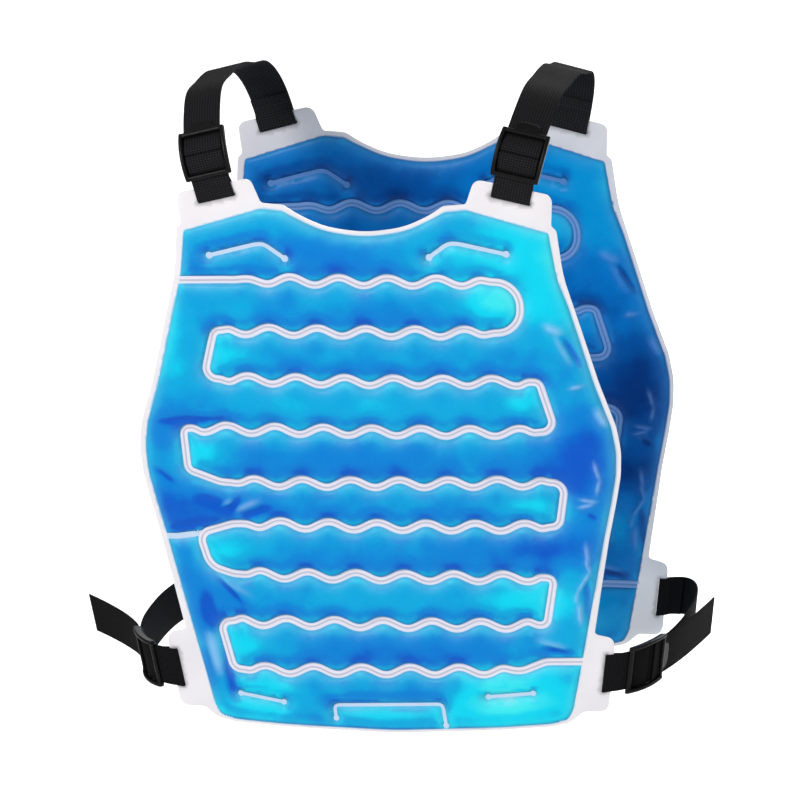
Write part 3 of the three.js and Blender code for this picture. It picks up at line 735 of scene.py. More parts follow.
for side, depth, seed in (("front", -MID_SPACING, 11), ("rear", MID_SPACING, 31)):
    low = face_height(seed, 1.0)
    high = face_height(seed + 5, 0.3)
    panels[side] = {"film": panel_piece(f"{side}_film_sheet", flat_triangles[~is_gel], depth,
                                        low, high, shared)}
    for key, rows in members.items():
        panels[side][key] = panel_piece(f"{side}_{key}_pouch", gel_triangles[rows], depth,
                                        low, high, shared)
print({key: len(rows) for key, rows in members.items()})

# %% [markdown]
# The webbing follows the same path as the CAD strap: sewn tail behind the tab, round the bar
# through the slot, up the front, through the slide buckle, over the arch and down to the rear
# tab. On a side strap a second ribbon is the free end, which leaves the buckle over the first
# and springs away to a straight cut. The section is flat with round edges, so the light catches
# a thin line along it. A ribbon that comes in one size and two shapes is best made by a sweep.

# %% Sizes of the straps in mm
ARCH_POWER = 0.85
TAIL = 17.0
BUCKLE_START, BUCKLE_LENGTH = 19.0, 40.0
BUCKLE_STOP = BUCKLE_START + BUCKLE_LENGTH
BUCKLE_MIDDLE = BUCKLE_START + BUCKLE_LENGTH / 2
CLIMB = 14.7
REACH = MID_SPACING + FILM / 2 + CLEARANCE + WEB_THICK / 2
STRAPS = {
    # kind: rise of the arch, rise of the bar over the slot
    "shoulder": (SHOULDER_RISE, SHOULDER_BAR),
    "side": (SIDE_REACH, SIDE_BAR),
}
# Height, place along the strap and spread of the shoulder strap's own bends.
FRONT_CORNER, REAR_FLAT = (4.5, 104.0, 24.0), (5.5, 106.0, 28.0)
FLAP_PULL, FLAP_SPRING = 30.0, 4.0
FLAPS = [
    # hand, word, tip's distance out from the slot, and back from the front panel
    (1, "right", 61.0, 146.0), (-1, "left", 100.0, 112.0),
]
print("webbing in mm from the mid plane", REACH, "buckles from", BUCKLE_START, "to", BUCKLE_STOP)


# %% Path of a strap: rise over its slot and depth
def normals(path):
    """Directions square to a strap's path, away from the wearer."""
    run = unit(np.gradient(path, axis=0))
    return np.column_stack([run[:, 1], -run[:, 0]])


def half_arch(kind):
    """Dense path from the front slot up to the middle of the arch."""
    rise, bar = STRAPS[kind]
    straight = bar + WEB_THICK
    angles = np.linspace(0, math.pi / 2, 400)
    up = straight + (rise - straight) * np.sin(angles) ** ARCH_POWER
    depth = -REACH * np.cos(angles) ** ARCH_POWER
    return np.vstack([[0, -REACH], np.column_stack([up, depth])])


def buckled_arch(kind):
    """The front half of a strap, lifted where it climbs over its buckle's middle bar."""
    arch = resample(half_arch(kind), 1.0)
    along, normal = along_path(arch), normals(arch)
    share = ramp(-np.abs(along - BUCKLE_MIDDLE), -CLIMB, 0.75 * CLIMB)
    lift = ease(share) * (WEB_THICK + 3 * CLEARANCE) - hump(along, 1.0, BUCKLE_MIDDLE, 1.1)
    return arch + lift[:, None] * normal, along, normal


def with_frames(points, step=1.2):
    """A path with even steps, its distances along and its normals."""
    path = resample(points, step)
    for _ in range(2):
        path[1:-1] = (path[:-2] + 2 * path[1:-1] + path[2:]) / 4
    return path, along_path(path), normals(path)


def strap_path(kind):
    """Middle line of the whole strap with its distances along and its normals."""
    bar = STRAPS[kind][1]
    front, along, normal = buckled_arch(kind)
    rear = resample(half_arch(kind), 1.0)
    tail = (along > bar + 2 * WEB_THICK) & (along < bar + TAIL)
    inner = (rear - (WEB_THICK + CLEARANCE) * normal)[tail]
    if kind == "shoulder":
        # Over the shoulder the webbing turns more sharply in front and runs straighter behind.
        front = front + hump(along, *FRONT_CORNER)[:, None] * normal
        rear = rear - hump(along, *REAR_FLAT)[:, None] * normal
    radius = REACH - MID_SPACING
    angles = np.linspace(0, math.pi, 9)
    turn = np.column_stack([radius - radius * np.sin(angles), radius * np.cos(angles) - MID_SPACING])
    loop = np.vstack([inner[::-1], [bar + WEB_THICK / 2, radius - MID_SPACING], turn])
    # The turn round the bar takes the place of the first three points of each arch.
    rear_half = np.vstack([loop, rear[3:]])[::-1] * [1, -1]
    return with_frames(np.vstack([loop, front[3:], rear_half[1:]]))


def flap_path(tip_out, tip_back):
    """The free end of a side strap, from under the far bar to its straight-cut tip."""
    arch, along, normal = buckled_arch("side")
    over = arch + (WEB_THICK + CLEARANCE) * normal
    held = over[(along > BUCKLE_MIDDLE + 2.5) & (along < BUCKLE_STOP + 9.5)]
    heading = unit(held[-1] - held[-3])
    pull = held[-1] + FLAP_PULL * heading + FLAP_SPRING * np.array([heading[1], -heading[0]])
    tip = np.array([tip_out, tip_back - MID_SPACING])
    return with_frames(np.vstack([held, curve(held[-1], pull, tip, 60)[1:]]))


def painted_bar_shade(kind, path):
    """Painted shade: 1 where the webbing goes under a bar or pinches over the middle one, in front
    only.
    """
    arch, along, _ = buckled_arch(kind)
    gaps = np.linalg.norm(path[:, None] - arch[None], axis=2)
    place = along[gaps.argmin(1)]
    shade = [hump(place, 0.9, spot, width) for spot, width in (
        (BUCKLE_START + 3.5, 2.4), (BUCKLE_MIDDLE, 0.8), (BUCKLE_STOP - 3.5, 3.2))]
    return np.max(shade, axis=0) * (gaps.min(1) < 0.6) * (path[:, 1] < 0)


# %% Sweep a section along a strap
def seat(kind, hand, across, up, depth):
    """Strap coordinates to the frame: across the strap, up from its slot, and depth."""
    if kind == "shoulder":
        middle, slope = (SLOT_REACH, SLOT_RISE), SHOULDER_SLOPE
        along = (math.cos(slope), -math.sin(slope))
        away = (math.sin(SHOULDER_LEAN), math.cos(SHOULDER_LEAN))
    else:
        middle, slope = (SIDE_SLOT_REACH, -SIDE_SLOT_DROP), SIDE_SLOPE
        along = (-math.sin(slope), -math.cos(slope))
        away = (math.cos(SIDE_LEAN), math.sin(SIDE_LEAN))
    x = middle[0] + across * along[0] + up * away[0]
    z = NECK_Z + middle[1] + across * along[1] + up * away[1]
    y = depth * (1 - PANEL_BOW * (x / HALF) ** 2 / MID_SPACING)
    return np.column_stack([hand * x, y, z]) * MM


def outward(vertices, faces):
    """The faces, all turned if the closed body is inside out."""
    volume = 0.0
    for face in faces:
        for k in range(1, len(face) - 1):
            a, b, c = vertices[face[0]], vertices[face[k]], vertices[face[k + 1]]
            volume += np.dot(a, np.cross(b, c))
    return [tuple(reversed(face)) for face in faces] if volume < 0 else faces


def sweep(kind, hand, path, normal, across, off):
    """A closed body: one ring of points, across and off the path, at each point of the path."""
    rows, ring = len(path), np.shape(off)[-1]
    across, off = (np.broadcast_to(values, (rows, ring)) for values in (across, off))
    flat = (path[:, None, :] + off[..., None] * normal[:, None, :]).reshape(-1, 2)
    vertices = seat(kind, hand, across.ravel(), flat[:, 0], flat[:, 1])
    faces = [(i * ring + j, i * ring + (j + 1) % ring, (i + 1) * ring + (j + 1) % ring,
              (i + 1) * ring + j) for i in range(rows - 1) for j in range(ring)]
    faces.append(tuple(range(ring))[::-1])
    faces.append(tuple((rows - 1) * ring + j for j in range(ring)))
    return vertices, outward(vertices, faces)


def ribbon_section(width, thickness, steps=8):
    """Flat section with round edges."""
    half, thick = width / 2, thickness / 2
    top = [(x, thick) for x in np.linspace(-half + thick, half - thick, steps)]
    right = [(half - thick + thick * math.cos(a), thick * math.sin(a))
             for a in np.linspace(math.pi / 2, -math.pi / 2, 6)[1:-1]]
    return np.array(top + right + [(-x, -z) for x, z in top] + [(-x, -z) for x, z in right])


web_section = ribbon_section(WEB_WIDTH, WEB_THICK)
straps, strap_lengths = {}, {}
ribbons = [(f"{kind}_strap_{word}", kind, hand, strap_path(kind))
           for kind in STRAPS for hand, word in ((1, "right"), (-1, "left"))]
ribbons += [(f"side_flap_{word}", "side", hand, flap_path(out, back))
            for hand, word, out, back in FLAPS]
for name, kind, hand, (path, along, normal) in ribbons:
    strap_lengths[name] = along[-1] * MM
    vertices, faces = sweep(kind, hand, path, normal, web_section[:, 0], web_section[:, 1])
    shown = name.replace("strap", "webbing").replace("flap", "end")
    straps[name] = add_object(shown, vertices, faces, {
        "across": np.tile(web_section[:, 0], len(path)),
        "along": np.repeat(along, len(web_section)),
        "painted_bar_shade": np.repeat(painted_bar_shade(kind, path) * ("strap" in name), len(web_section)),
    })
print("strap lengths in m", {k: round(v, 3) for k, v in strap_lengths.items()})

# %% [markdown]
# A slide buckle is two curved rails joined by three bars, with a lift tongue. The webbing climbs
# over the middle bar and dives under the end bars. The parts are swept along the strap's own
# path, run together by a fine remesh and smoothed, which leaves the soft inner corners of a
# moulding. Joining them by booleans would leave every corner sharp.

# %% Sizes of a slide buckle in mm, off the middle of the webbing
RAIL, RAIL_LOW, RAIL_HIGH, RAIL_CROWN, RAIL_BULGE = 3.2, -1.8, 3.9, 1.0, 0.7
LEDGE_IN, LEDGE_OUT, LEDGE_LOW, LEDGE_HIGH = 2.6, 2.0, -2.3, -1.2
BAR, BAR_LOW, BAR_HIGH = 3.8, 1.1, 3.6
MIDDLE_BAR, MIDDLE_LOW, MIDDLE_HIGH = 4.8, -1.3, 1.0
TONGUE_LOW, TONGUE_HIGH = 1.4, 3.1
# Each step of the tongue: length beyond the far bar and half its width.
TONGUE = [(4.2, 10.6), (6.2, 9.6), (7.4, 7.8), (8.0, 5.4)]
print("buckle height in mm", round(RAIL_HIGH + RAIL_CROWN - RAIL_LOW, 1), "tongue", TONGUE[-1][0])


# %% Parts of a slide buckle
def rounded_section(left, right, low, high, radius, steps=4):
    """A rectangle's section with round corners, as (across, off) points."""
    points = []
    for cx, cz, start in ((right - radius, high - radius, 90), (right - radius, low + radius, 0),
                          (left + radius, low + radius, -90), (left + radius, high - radius, 180)):
        for k in range(steps + 1):
            angle = math.radians(start - 90 * k / steps)
            points.append((cx + radius * math.cos(angle), cz + radius * math.sin(angle)))
    return np.array(points)


def buckle_part(kind, span, sides, heights, radius, crown=0.0, bulge=0.0):
    """A rail or a bar over a span of the plain arch, a little slimmer at its ends."""
    low, high = span
    arch = resample(half_arch(kind), 0.4)
    places = np.linspace(low, high, max(3, int((high - low) / 0.8)))
    path = np.column_stack([np.interp(places, along_path(arch), arch[:, k]) for k in (0, 1)])
    normal = normals(path)
    share = 1 - ((places - BUCKLE_MIDDLE) / (BUCKLE_LENGTH / 2)) ** 2
    end = ramp(np.minimum(places - low, high - places), 0, 1.2)
    shrink = 0.45 + 0.55 * np.sqrt(end * (2 - end))
    section = rounded_section(*sides, *heights, radius)
    middle = section[:, 1].mean()
    off = middle + (section[:, 1] - middle) * shrink[:, None]
    return sweep(kind, 1, path + (crown * share)[:, None] * normal, normal,
                 section[:, 0] + bulge * share[:, None], off)


def buckle_body(kind):
    """All parts of one right-hand buckle as overlapping closed bodies."""
    start, stop = BUCKLE_START, BUCKLE_STOP
    inner = WEB_WIDTH / 2 + 0.1
    outer = WEB_WIDTH / 2 + CLEARANCE + RAIL
    # A side strap's free end also goes under the far bar, which stands higher for it.
    flap = 0.0 if kind == "shoulder" else WEB_THICK + CLEARANCE
    parts = []
    for hand in (1, -1):
        parts.append(buckle_part(kind, (start, stop), sorted((hand * inner, hand * outer)),
                                 (RAIL_LOW, RAIL_HIGH + flap), 1.4, RAIL_CROWN, RAIL_BULGE * hand))
        # A low ledge under the webbing's edge closes the slit beside it.
        ledge = sorted((hand * (inner - LEDGE_IN), hand * (inner + LEDGE_OUT)))
        parts.append(buckle_part(kind, (start + 1, stop - 1), ledge, (LEDGE_LOW, LEDGE_HIGH), 0.5))
    reach = (-inner - 1.4, inner + 1.4)
    parts.append(buckle_part(kind, (start + 0.2, start + 0.2 + BAR), reach, (BAR_LOW, BAR_HIGH), 1.1))
    parts.append(buckle_part(kind, (BUCKLE_MIDDLE - MIDDLE_BAR / 2, BUCKLE_MIDDLE + MIDDLE_BAR / 2),
                             reach, (MIDDLE_LOW, MIDDLE_HIGH), 0.9))
    parts.append(buckle_part(kind, (stop - 0.2 - BAR, stop - 0.2), reach,
                             (BAR_LOW + flap, BAR_HIGH + flap), 1.1))
    # The lift tongue narrows in steps, so that its end is round.
    for length, half in TONGUE:
        parts.append(buckle_part(kind, (stop - 2.0, stop + length), (-half, half),
                                 (TONGUE_LOW + flap, TONGUE_HIGH + flap), 0.8))
    return parts


def joined(name, parts):
    vertices, faces = [], []
    for part_vertices, part_faces in parts:
        first = len(vertices)
        vertices.extend(part_vertices.tolist())
        faces.extend(tuple(first + i for i in face) for face in part_faces)
    return add_object(name, vertices, faces)


def apply_modifiers(thing):
    """Keeps the modified shape as the object's own mesh, with no modifier left on it."""
    graph = bpy.context.evaluated_depsgraph_get()
    result = bpy.data.meshes.new_from_object(thing.evaluated_get(graph))
    thing.modifiers.clear()
    old = thing.data
    thing.data = result
    bpy.data.meshes.remove(old)
    return thing


# %% Make the four buckles
buckles = {}
for kind in STRAPS:
    right = joined(f"{kind}_slide_right", buckle_body(kind))
    remesh = right.modifiers.new("remesh", "REMESH")
    remesh.mode = "VOXEL"
    remesh.voxel_size = 0.0005
    smooth = right.modifiers.new("smooth", "SMOOTH")
    smooth.factor = 0.5
    smooth.iterations = 4
    apply_modifiers(right)
    right.data.shade_smooth()
    left_mesh = right.data.copy()
    flipped = np.empty(len(left_mesh.vertices) * 3)
    left_mesh.vertices.foreach_get("co", flipped)
    flipped[0::3] *= -1
    left_mesh.vertices.foreach_set("co", flipped)
    left_mesh.flip_normals()
    left = bpy.data.objects.new(f"{kind}_slide_left", left_mesh)
    scene.collection.objects.link(left)
    buckles[f"{kind}_buckle_right"] = right
    buckles[f"{kind}_buckle_left"] = left
    print(kind, "buckle faces", len(right.data.polygons))

# %% [markdown]
# Two rows of stitches close each loop of webbing. The row is drawn as a line of edges and a node
# tree sets the stitches along it: a resampled curve, one small ellipsoid a pitch apart, turned
# along the row. The pitch, the length and the thickness are inputs with names.

# %% A node tree for a row of stitches
def stitch_tree():
    tree = bpy.data.node_groups.new("stitch_row", "GeometryNodeTree")
    face = tree.interface
    sockets = {"Geometry": face.new_socket("Geometry", in_out="INPUT",
                                           socket_type="NodeSocketGeometry")}
    for word, value in (("Pitch", 0.0026), ("Stitch length", 0.0011), ("Thread radius", 0.00032)):
        sockets[word] = face.new_socket(word, in_out="INPUT", socket_type="NodeSocketFloat")
        sockets[word].default_value = value
    sockets["Thread"] = face.new_socket("Thread", in_out="INPUT", socket_type="NodeSocketMaterial")
    face.new_socket("Geometry", in_out="OUTPUT", socket_type="NodeSocketGeometry")

    def add(kind, **settings):
        made = tree.nodes.new(kind)
        for key, value in settings.items():
            setattr(made, key, value)
        return made

    given, result = add("NodeGroupInput"), add("NodeGroupOutput")
    curve, points = add("GeometryNodeMeshToCurve"), add("GeometryNodeResampleCurve", mode="LENGTH")
    tangent, turn = add("GeometryNodeInputTangent"), add("FunctionNodeAlignRotationToVector", axis="Z")
    stitch = add("GeometryNodeMeshUVSphere")
    stitch.inputs["Segments"].default_value = 8
    stitch.inputs["Rings"].default_value = 6
    stitch.inputs["Radius"].default_value = 1.0
    size, place = add("ShaderNodeCombineXYZ"), add("GeometryNodeInstanceOnPoints")
    solid, finish = add("GeometryNodeRealizeInstances"), add("GeometryNodeSetMaterial")
    link = tree.links.new
    link(given.outputs["Geometry"], curve.inputs["Mesh"])
    link(curve.outputs["Curve"], points.inputs["Curve"])
    link(given.outputs["Pitch"], points.inputs["Length"])
    link(points.outputs["Curve"], place.inputs["Points"])
    link(stitch.outputs["Mesh"], place.inputs["Instance"])
    link(tangent.outputs["Tangent"], turn.inputs["Vector"])
    link(turn.outputs["Rotation"], place.inputs["Rotation"])
    link(given.outputs["Thread radius"], size.inputs["X"])
    link(given.outputs["Thread radius"], size.inputs["Y"])
    link(given.outputs["Stitch length"], size.inputs["Z"])
    link(size.outputs["Vector"], place.inputs["Scale"])
    link(place.outputs["Instances"], solid.inputs["Geometry"])
    link(solid.outputs["Geometry"], finish.inputs["Geometry"])
    link(given.outputs["Thread"], finish.inputs["Material"])
    link(finish.outputs["Geometry"], result.inputs["Geometry"])
    return tree, {word: socket.identifier for word, socket in sockets.items()}


# %% [markdown]
# Materials are worked out from positions and from the values stored on the meshes. One small
# wrapper lets the shader maths read like ordinary sums.

# %% Shader helpers
def colour(red, green, blue):
    """An ordinary 0 to 255 colour as the linear one that a shader takes."""
    return tuple(((c / 255 + 0.055) / 1.055) ** 2.4 if c > 10 else c / 255 / 12.92
                 for c in (red, green, blue))


class Term:
    """A number flowing through a shader. Arithmetic on it adds Math nodes."""

    def __init__(self, shader, socket):
        self.shader, self.socket = shader, socket

    def __add__(self, other):
        return self.shader.maths("ADD", self, other)

    def __sub__(self, other):
        return self.shader.maths("SUBTRACT", self, other)

    def __rsub__(self, other):
        return self.shader.maths("SUBTRACT", other, self)

    def __mul__(self, other):
        return self.shader.maths("MULTIPLY", self, other)

    __radd__ = __add__
    __rmul__ = __mul__


class Shader:
    """A Principled material with short ways to add what varies on it."""

    def __init__(self, name, **constants):
        self.material = bpy.data.materials.new(name)
        self.material.use_nodes = True
        self.tree = self.material.node_tree
        self.tree.nodes.clear()
        output = self.tree.nodes.new("ShaderNodeOutputMaterial")
        self.surface = self.tree.nodes.new("ShaderNodeBsdfPrincipled")
        self.tree.links.new(self.surface.outputs[0], output.inputs[0])
        for key, value in constants.items():
            self.set(key.replace("_", " "), value)

    def feed(self, socket, value):
        if isinstance(value, Term):
            self.tree.links.new(value.socket, socket)
        elif isinstance(value, tuple) and len(value) == 3 and len(socket.default_value) == 4:
            socket.default_value = (*value, 1)
        else:
            socket.default_value = value

    def set(self, key, value):
        self.feed(self.surface.inputs[key], value)

    def node(self, kind, settings, output=0, **sockets):
        made = self.tree.nodes.new(kind)
        for key, value in settings.items():
            setattr(made, key, value)
        for key, value in sockets.items():
            self.feed(made.inputs[key.replace("_", " ")], value)
        return Term(self, made.outputs[output])

    def maths(self, operation, *values):
        made = self.tree.nodes.new("ShaderNodeMath")
        made.operation = operation
        for socket, value in zip(made.inputs, values):
            self.feed(socket, value)
        return Term(self, made.outputs[0])

    def mix(self, factor, first, second):
        made = self.tree.nodes.new("ShaderNodeMix")
        made.data_type = "RGBA"
        self.feed(made.inputs[0], factor)
        self.feed(made.inputs[6], first)
        self.feed(made.inputs[7], second)
        return Term(self, made.outputs[2])

    def smooth(self, value, low, high):
        return self.node("ShaderNodeMapRange", {"interpolation_type": "SMOOTHSTEP"}, Value=value,
                         From_Min=low, From_Max=high)

    def read(self, name):
        return self.node("ShaderNodeAttribute", {"attribute_name": name}, output="Fac")

    def place(self):
        return self.node("ShaderNodeTexCoord", {}, output="Object")

    def noise(self, scale, detail=2.0):
        return self.node("ShaderNodeTexNoise", {}, output="Fac", Vector=self.place(), Scale=scale,
                         Detail=detail)

    def bump(self, height, distance, strength=1.0):
        self.set("Normal", self.node("ShaderNodeBump", {}, Height=height, Distance=distance,
                                     Strength=strength))


# %% [markdown]
# Gel is clear, but a clear material would show the room through it and the wanted blue would be left
# to chance. So each face gets the colour that is seen through the film: a run of colours from deep
# blue to turquoise, picked by the tint on the points, with a pale band beside a weld, partly thin gel
# and partly painted light, and a painted shade line where the pillow leaves it. The rear panel stands
# in shade, so its run is painted deeper, as painted shade.

# %% Gel and film
def gel_material(name, stops, pale, shadow, crease_highlight_colour):
    """Coloured gel under a glossy film: a run of colours picked by the mesh's tint."""
    shader = Shader(name, Roughness=0.46, IOR=1.4, Specular_IOR_Level=0.1, Coat_Weight=0.1,
                    Coat_Roughness=0.3)
    tint = shader.read("tint") + (shader.noise(38.0, 3.0) - 0.5) * 0.22
    tint = tint + (shader.noise(210.0, 2.0) - 0.5) * 0.06
    result = stops[0][1]
    for (low, _), (high, shade) in zip(stops, stops[1:]):
        result = shader.mix(shader.smooth(tint, low, high), result, shade)
    # The pale band beside a weld is partly thin gel and partly painted light.
    result = shader.mix(shader.read("glow") * 0.6, result, pale)
    # The ridges of the creases get a painted highlight.
    result = shader.mix(shader.read("painted_crease_highlight") * 0.62, result, crease_highlight_colour)
    # A painted shade line runs along each weld.
    shader.set("Base Color", shader.mix(shader.read("lip") * 0.7, result, shadow))
    wrinkle = shader.noise(95.0, 3.0) + shader.noise(420.0, 2.0) * 0.12
    shader.bump(wrinkle, 0.0016, 0.6)
    return shader.material


# After each run come the pale colour beside a weld, the painted shade beside a weld and the painted
# highlight on a crease.
front_gel = gel_material("gel_blue", [
    (0.02, colour(0, 84, 192)), (0.30, colour(0, 124, 204)), (0.56, colour(0, 160, 212)),
    (0.82, colour(0, 204, 230)), (1.15, colour(60, 224, 230)), (1.5, colour(176, 222, 230)),
], colour(128, 214, 240), colour(24, 92, 158), colour(150, 196, 240))
# The rear panel's run is the same gel made deeper, as painted shade.
rear_gel = gel_material("gel_blue_shade", [
    (0.02, colour(0, 54, 122)), (0.30, colour(0, 80, 154)), (0.56, colour(0, 110, 184)),
    (0.82, colour(0, 140, 202)), (1.15, colour(20, 166, 212)), (1.5, colour(80, 182, 212)),
], colour(70, 148, 206), colour(8, 44, 96), colour(84, 138, 206))


def film_material(name, thin, thick, weld, groove, glow):
    """Clear film: milky at the rim and tabs, and tinted by the gel on either side of a weld."""
    shader = Shader(name, Roughness=0.36, IOR=1.45, Specular_IOR_Level=0.4, Coat_Weight=0.3,
                    Coat_Roughness=0.2)
    rise = shader.node("ShaderNodeSeparateXYZ", {}, output="Z", Vector=shader.place())
    # The milky colour goes from the thick colour low down to the thin one high up; this change with
    # height is painted light and shade, darker at the top of the rear film.
    milk = shader.mix(shader.smooth(rise, -0.4, -0.15), thick, thin)
    milk = shader.mix((shader.noise(26.0, 3.0) - 0.35) * 0.5, milk, colour(255, 254, 255))
    # Painted shadow round each slot.
    milk = shader.mix(shader.read("slot") * 0.55, milk, colour(70, 68, 74))
    offset = shader.read("offset")
    line = 1 - shader.smooth(shader.maths("ABSOLUTE", offset + 0.1), 0.0, 0.42)
    welded = shader.mix(line * 0.8, weld, groove)
    side = shader.smooth(shader.maths("ABSOLUTE", offset), 0.72, 1.0)
    welded = shader.mix(side * 0.55, welded, glow)
    rim = shader.mix(1 - shader.smooth(shader.read("inner"), 0.0, 0.45), milk, glow)
    shader.set("Base Color", shader.mix(shader.read("band"), rim, welded))
    shader.bump(shader.noise(160.0, 3.0), 0.0006, 0.5)
    return shader.material


front_film = film_material("film_milky", colour(228, 224, 228), colour(222, 219, 223),
                           colour(224, 221, 232), colour(168, 164, 184), colour(150, 196, 228))
# The rear film's weld and gel-tinted colours are deeper and bluer than the front's, as painted shade.
rear_film = film_material("film_milky_shade", colour(205, 202, 205), colour(228, 226, 228),
                          colour(112, 150, 200), colour(64, 104, 164), colour(48, 106, 172))


# %% [markdown]
# Webbing has two weaves here: the shoulder straps show slanting rows, and the side straps show
# ribs across. Both are waves on the distances across and along that the sweep left on the
# points, so they follow the strap round its bends. The plastic is plain, with a fine grain.

# %% Webbing and plastic
RIB, FINE_ROW, WIDE_ROW = 1.9, 1.5, 2.3


def webbing_material(name, ribbed):
    shader = Shader(name, Roughness=0.8, IOR=1.45, Specular_IOR_Level=0.06)
    across, along = shader.read("across"), shader.read("along")
    if ribbed:
        light = colour(27, 27, 29)
        ribs = shader.maths("ABSOLUTE", shader.maths("SINE", along * (math.pi / RIB)))
        weave = ribs * 0.8 + shader.maths("SINE", across * (math.tau / FINE_ROW)) * 0.12
    else:
        light = colour(46, 46, 48)
        row = shader.maths("SINE", across * (math.tau / WIDE_ROW))
        dash = shader.maths("SINE", along * (math.tau / RIB) + row * 1.6)
        weave = shader.smooth(row * 0.25 + dash * 0.4 + 0.5, 0.3, 0.8)
    fray = shader.noise(900.0, 2.0)
    cloth = shader.mix(weave * 0.8 + fray * 0.2, colour(5, 5, 6), light)
    # The webbing is darkened by painted shade where it goes under a bar or over the middle one.
    shader.set("Base Color", shader.mix(shader.read("painted_bar_shade"), cloth, colour(3, 3, 3)))
    shader.bump(weave + fray * 0.3, 0.0004, 0.8)
    return shader.material


shoulder_webbing = webbing_material("webbing_woven", False)
side_webbing = webbing_material("webbing_ribbed", True)
plastic = Shader("buckle_moulding", Base_Color=colour(8, 8, 9), Roughness=0.42,
                 Specular_IOR_Level=0.18)
plastic.bump(plastic.noise(1400.0, 2.0), 0.00006, 0.5)
thread = Shader("thread", Base_Color=colour(20, 20, 22), Roughness=0.6)
print("materials", [material.name for material in bpy.data.materials])

# %% [markdown]
# The stitches are sewn now that the thread has a material. Each end of each strap gets two rows,
# laid on the inner face of the tail, and the node tree turns each row into a plain mesh.

# %% Sew the loops
SEAM_INSET, SEAM_POINTS = 3.0, 12
tree, inputs = stitch_tree()
stitches = []
behind = REACH - 1.5 * WEB_THICK - CLEARANCE
for kind, (_, bar) in STRAPS.items():
    across = np.linspace(-WEB_WIDTH / 2 + SEAM_INSET, WEB_WIDTH / 2 - SEAM_INSET, SEAM_POINTS)
    for hand, word in ((1, "right"), (-1, "left")):
        for end, depth in (("front", -behind), ("rear", behind)):
            rows, edges = [], []
            for up in (bar + 8.0, bar + TAIL - 3.0):
                first = len(rows)
                line = seat(kind, hand, across, np.full(SEAM_POINTS, up), np.full(SEAM_POINTS, depth))
                rows.extend(line.tolist())
                edges.extend((first + i, first + i + 1) for i in range(SEAM_POINTS - 1))
            mesh = bpy.data.meshes.new(f"{kind}_stitches_{end}_{word}")
            mesh.from_pydata(rows, edges, [])
            row = bpy.data.objects.new(mesh.name, mesh)
            scene.collection.objects.link(row)
            modifier = row.modifiers.new("stitches", "NODES")
            modifier.node_group = tree
            modifier[inputs["Thread"]] = thread.material
            stitches.append(apply_modifiers(row))
print("stitch rows", len(stitches), "faces each", len(stitches[0].data.polygons))

# %% [markdown]
# Last, each piece gets its material and rides on the one body, and the CAD solid that it stands for is
# hidden.

# %% Give each piece its material and its place in the frame
def finish_piece(thing, material, slot, *nodes):
    if not thing.data.materials:
        thing.data.materials.append(material)
    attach(thing, "root")
    if nodes:
        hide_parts(*nodes)


for side, film, gel in (("front", front_film, front_gel), ("rear", rear_film, rear_gel)):
    for key, thing in panels[side].items():
        if key == "film":
            finish_piece(thing, film, "welded_film", f"{side}_film")
        else:
            finish_piece(thing, gel, f"{side}_gel", f"{side}_{key}")
for name, thing in straps.items():
    kind = name.split("_")[0]
    finish_piece(thing, shoulder_webbing if kind == "shoulder" else side_webbing, "webbing", name)
    free = "flap" in name
for name, thing in buckles.items():
    finish_piece(thing, plastic.material, "buckle_plastic", name)
for thing in stitches:
    finish_piece(thing, thread.material, "webbing")

# %% [markdown]
# The vest hangs in soft light over a pale floor. The key light stands high on the left, a wider
# and weaker one fills the right, and a third lights the floor behind, so that it turns white.

# %% Floor and light
FLOOR_DROP = 1.0
CHEST = (0, 0, -0.3)
bpy.ops.mesh.primitive_plane_add(size=60, location=(0, 0, -FLOOR_DROP))
floor = bpy.context.object
floor.name = "floor"
paper = Shader("floor_paper", Base_Color=(0.92, 0.92, 0.92), Roughness=0.9, Specular_IOR_Level=0.0)
floor.data.materials.append(paper.material)

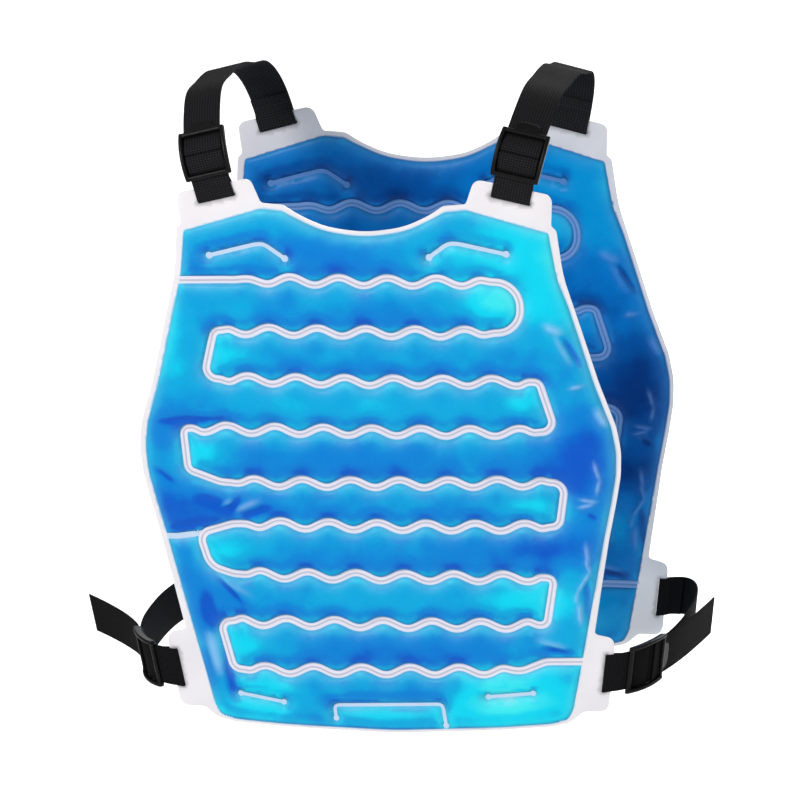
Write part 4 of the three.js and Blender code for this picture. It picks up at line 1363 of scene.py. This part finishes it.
world = bpy.data.worlds.new("studio")
world.use_nodes = True
world.node_tree.nodes["Background"].inputs["Color"].default_value = (1, 1, 1, 1)
world.node_tree.nodes["Background"].inputs["Strength"].default_value = 0.35
scene.world = world


def soft_light(name, place, aim, size, power):
    data = bpy.data.lights.new(name, "AREA")
    data.shape = "DISK"
    data.size = size
    data.energy = power
    lamp = bpy.data.objects.new(name, data)
    scene.collection.objects.link(lamp)
    lamp.location = place
    lamp.rotation_euler = (Vector(place) - Vector(aim)).to_track_quat("Z", "Y").to_euler()


soft_light("key", (-1.8, -3.0, 2.4), CHEST, 1.4, 110)
soft_light("fill", (2.6, -3.2, 0.8), CHEST, 2.0, 40)
soft_light("floor_light", (0.7, 2.9, 1.2), (0.7, 2.9, -FLOOR_DROP), 3.0, 160)

# %% [markdown]
# The camera is a long lens a little to the right of the front and above it, rolled by three
# degrees, as in the photograph. From far away the two panels come out nearly the same size.

# %% Camera
AZIMUTH, ELEVATION, ROLL = math.radians(13.95), math.radians(16.2), math.radians(3.35)
DISTANCE, WIDTH_SEEN = 12.0, 0.64
SHIFT_RIGHT, SHIFT_DOWN = 0.0294, 0.160
# This place on the front panel is where the fit of the camera to the photograph started.
ANCHOR = Vector((0, -0.1071, -0.0759))
right = Vector((math.cos(AZIMUTH), math.sin(AZIMUTH), 0))
back = Vector((math.sin(AZIMUTH) * math.cos(ELEVATION), -math.cos(AZIMUTH) * math.cos(ELEVATION),
               math.sin(ELEVATION)))
up = back.cross(right)
right_rolled = right * math.cos(ROLL) - up * math.sin(ROLL)
up_rolled = right * math.sin(ROLL) + up * math.cos(ROLL)
aim = ANCHOR + right_rolled * SHIFT_RIGHT - up_rolled * SHIFT_DOWN
lens = bpy.data.cameras.new("camera")
lens.lens = 36 * DISTANCE / WIDTH_SEEN
lens.clip_end = 200
camera = bpy.data.objects.new("camera", lens)
scene.collection.objects.link(camera)
turn = [[axis[k] for axis in (right_rolled, up_rolled, back)] for k in range(3)]
camera.matrix_world = Matrix.Translation(aim + back * DISTANCE) @ Matrix(turn).to_4x4()
print("camera at", [round(c, 3) for c in camera.matrix_world.translation])
scene.camera = camera
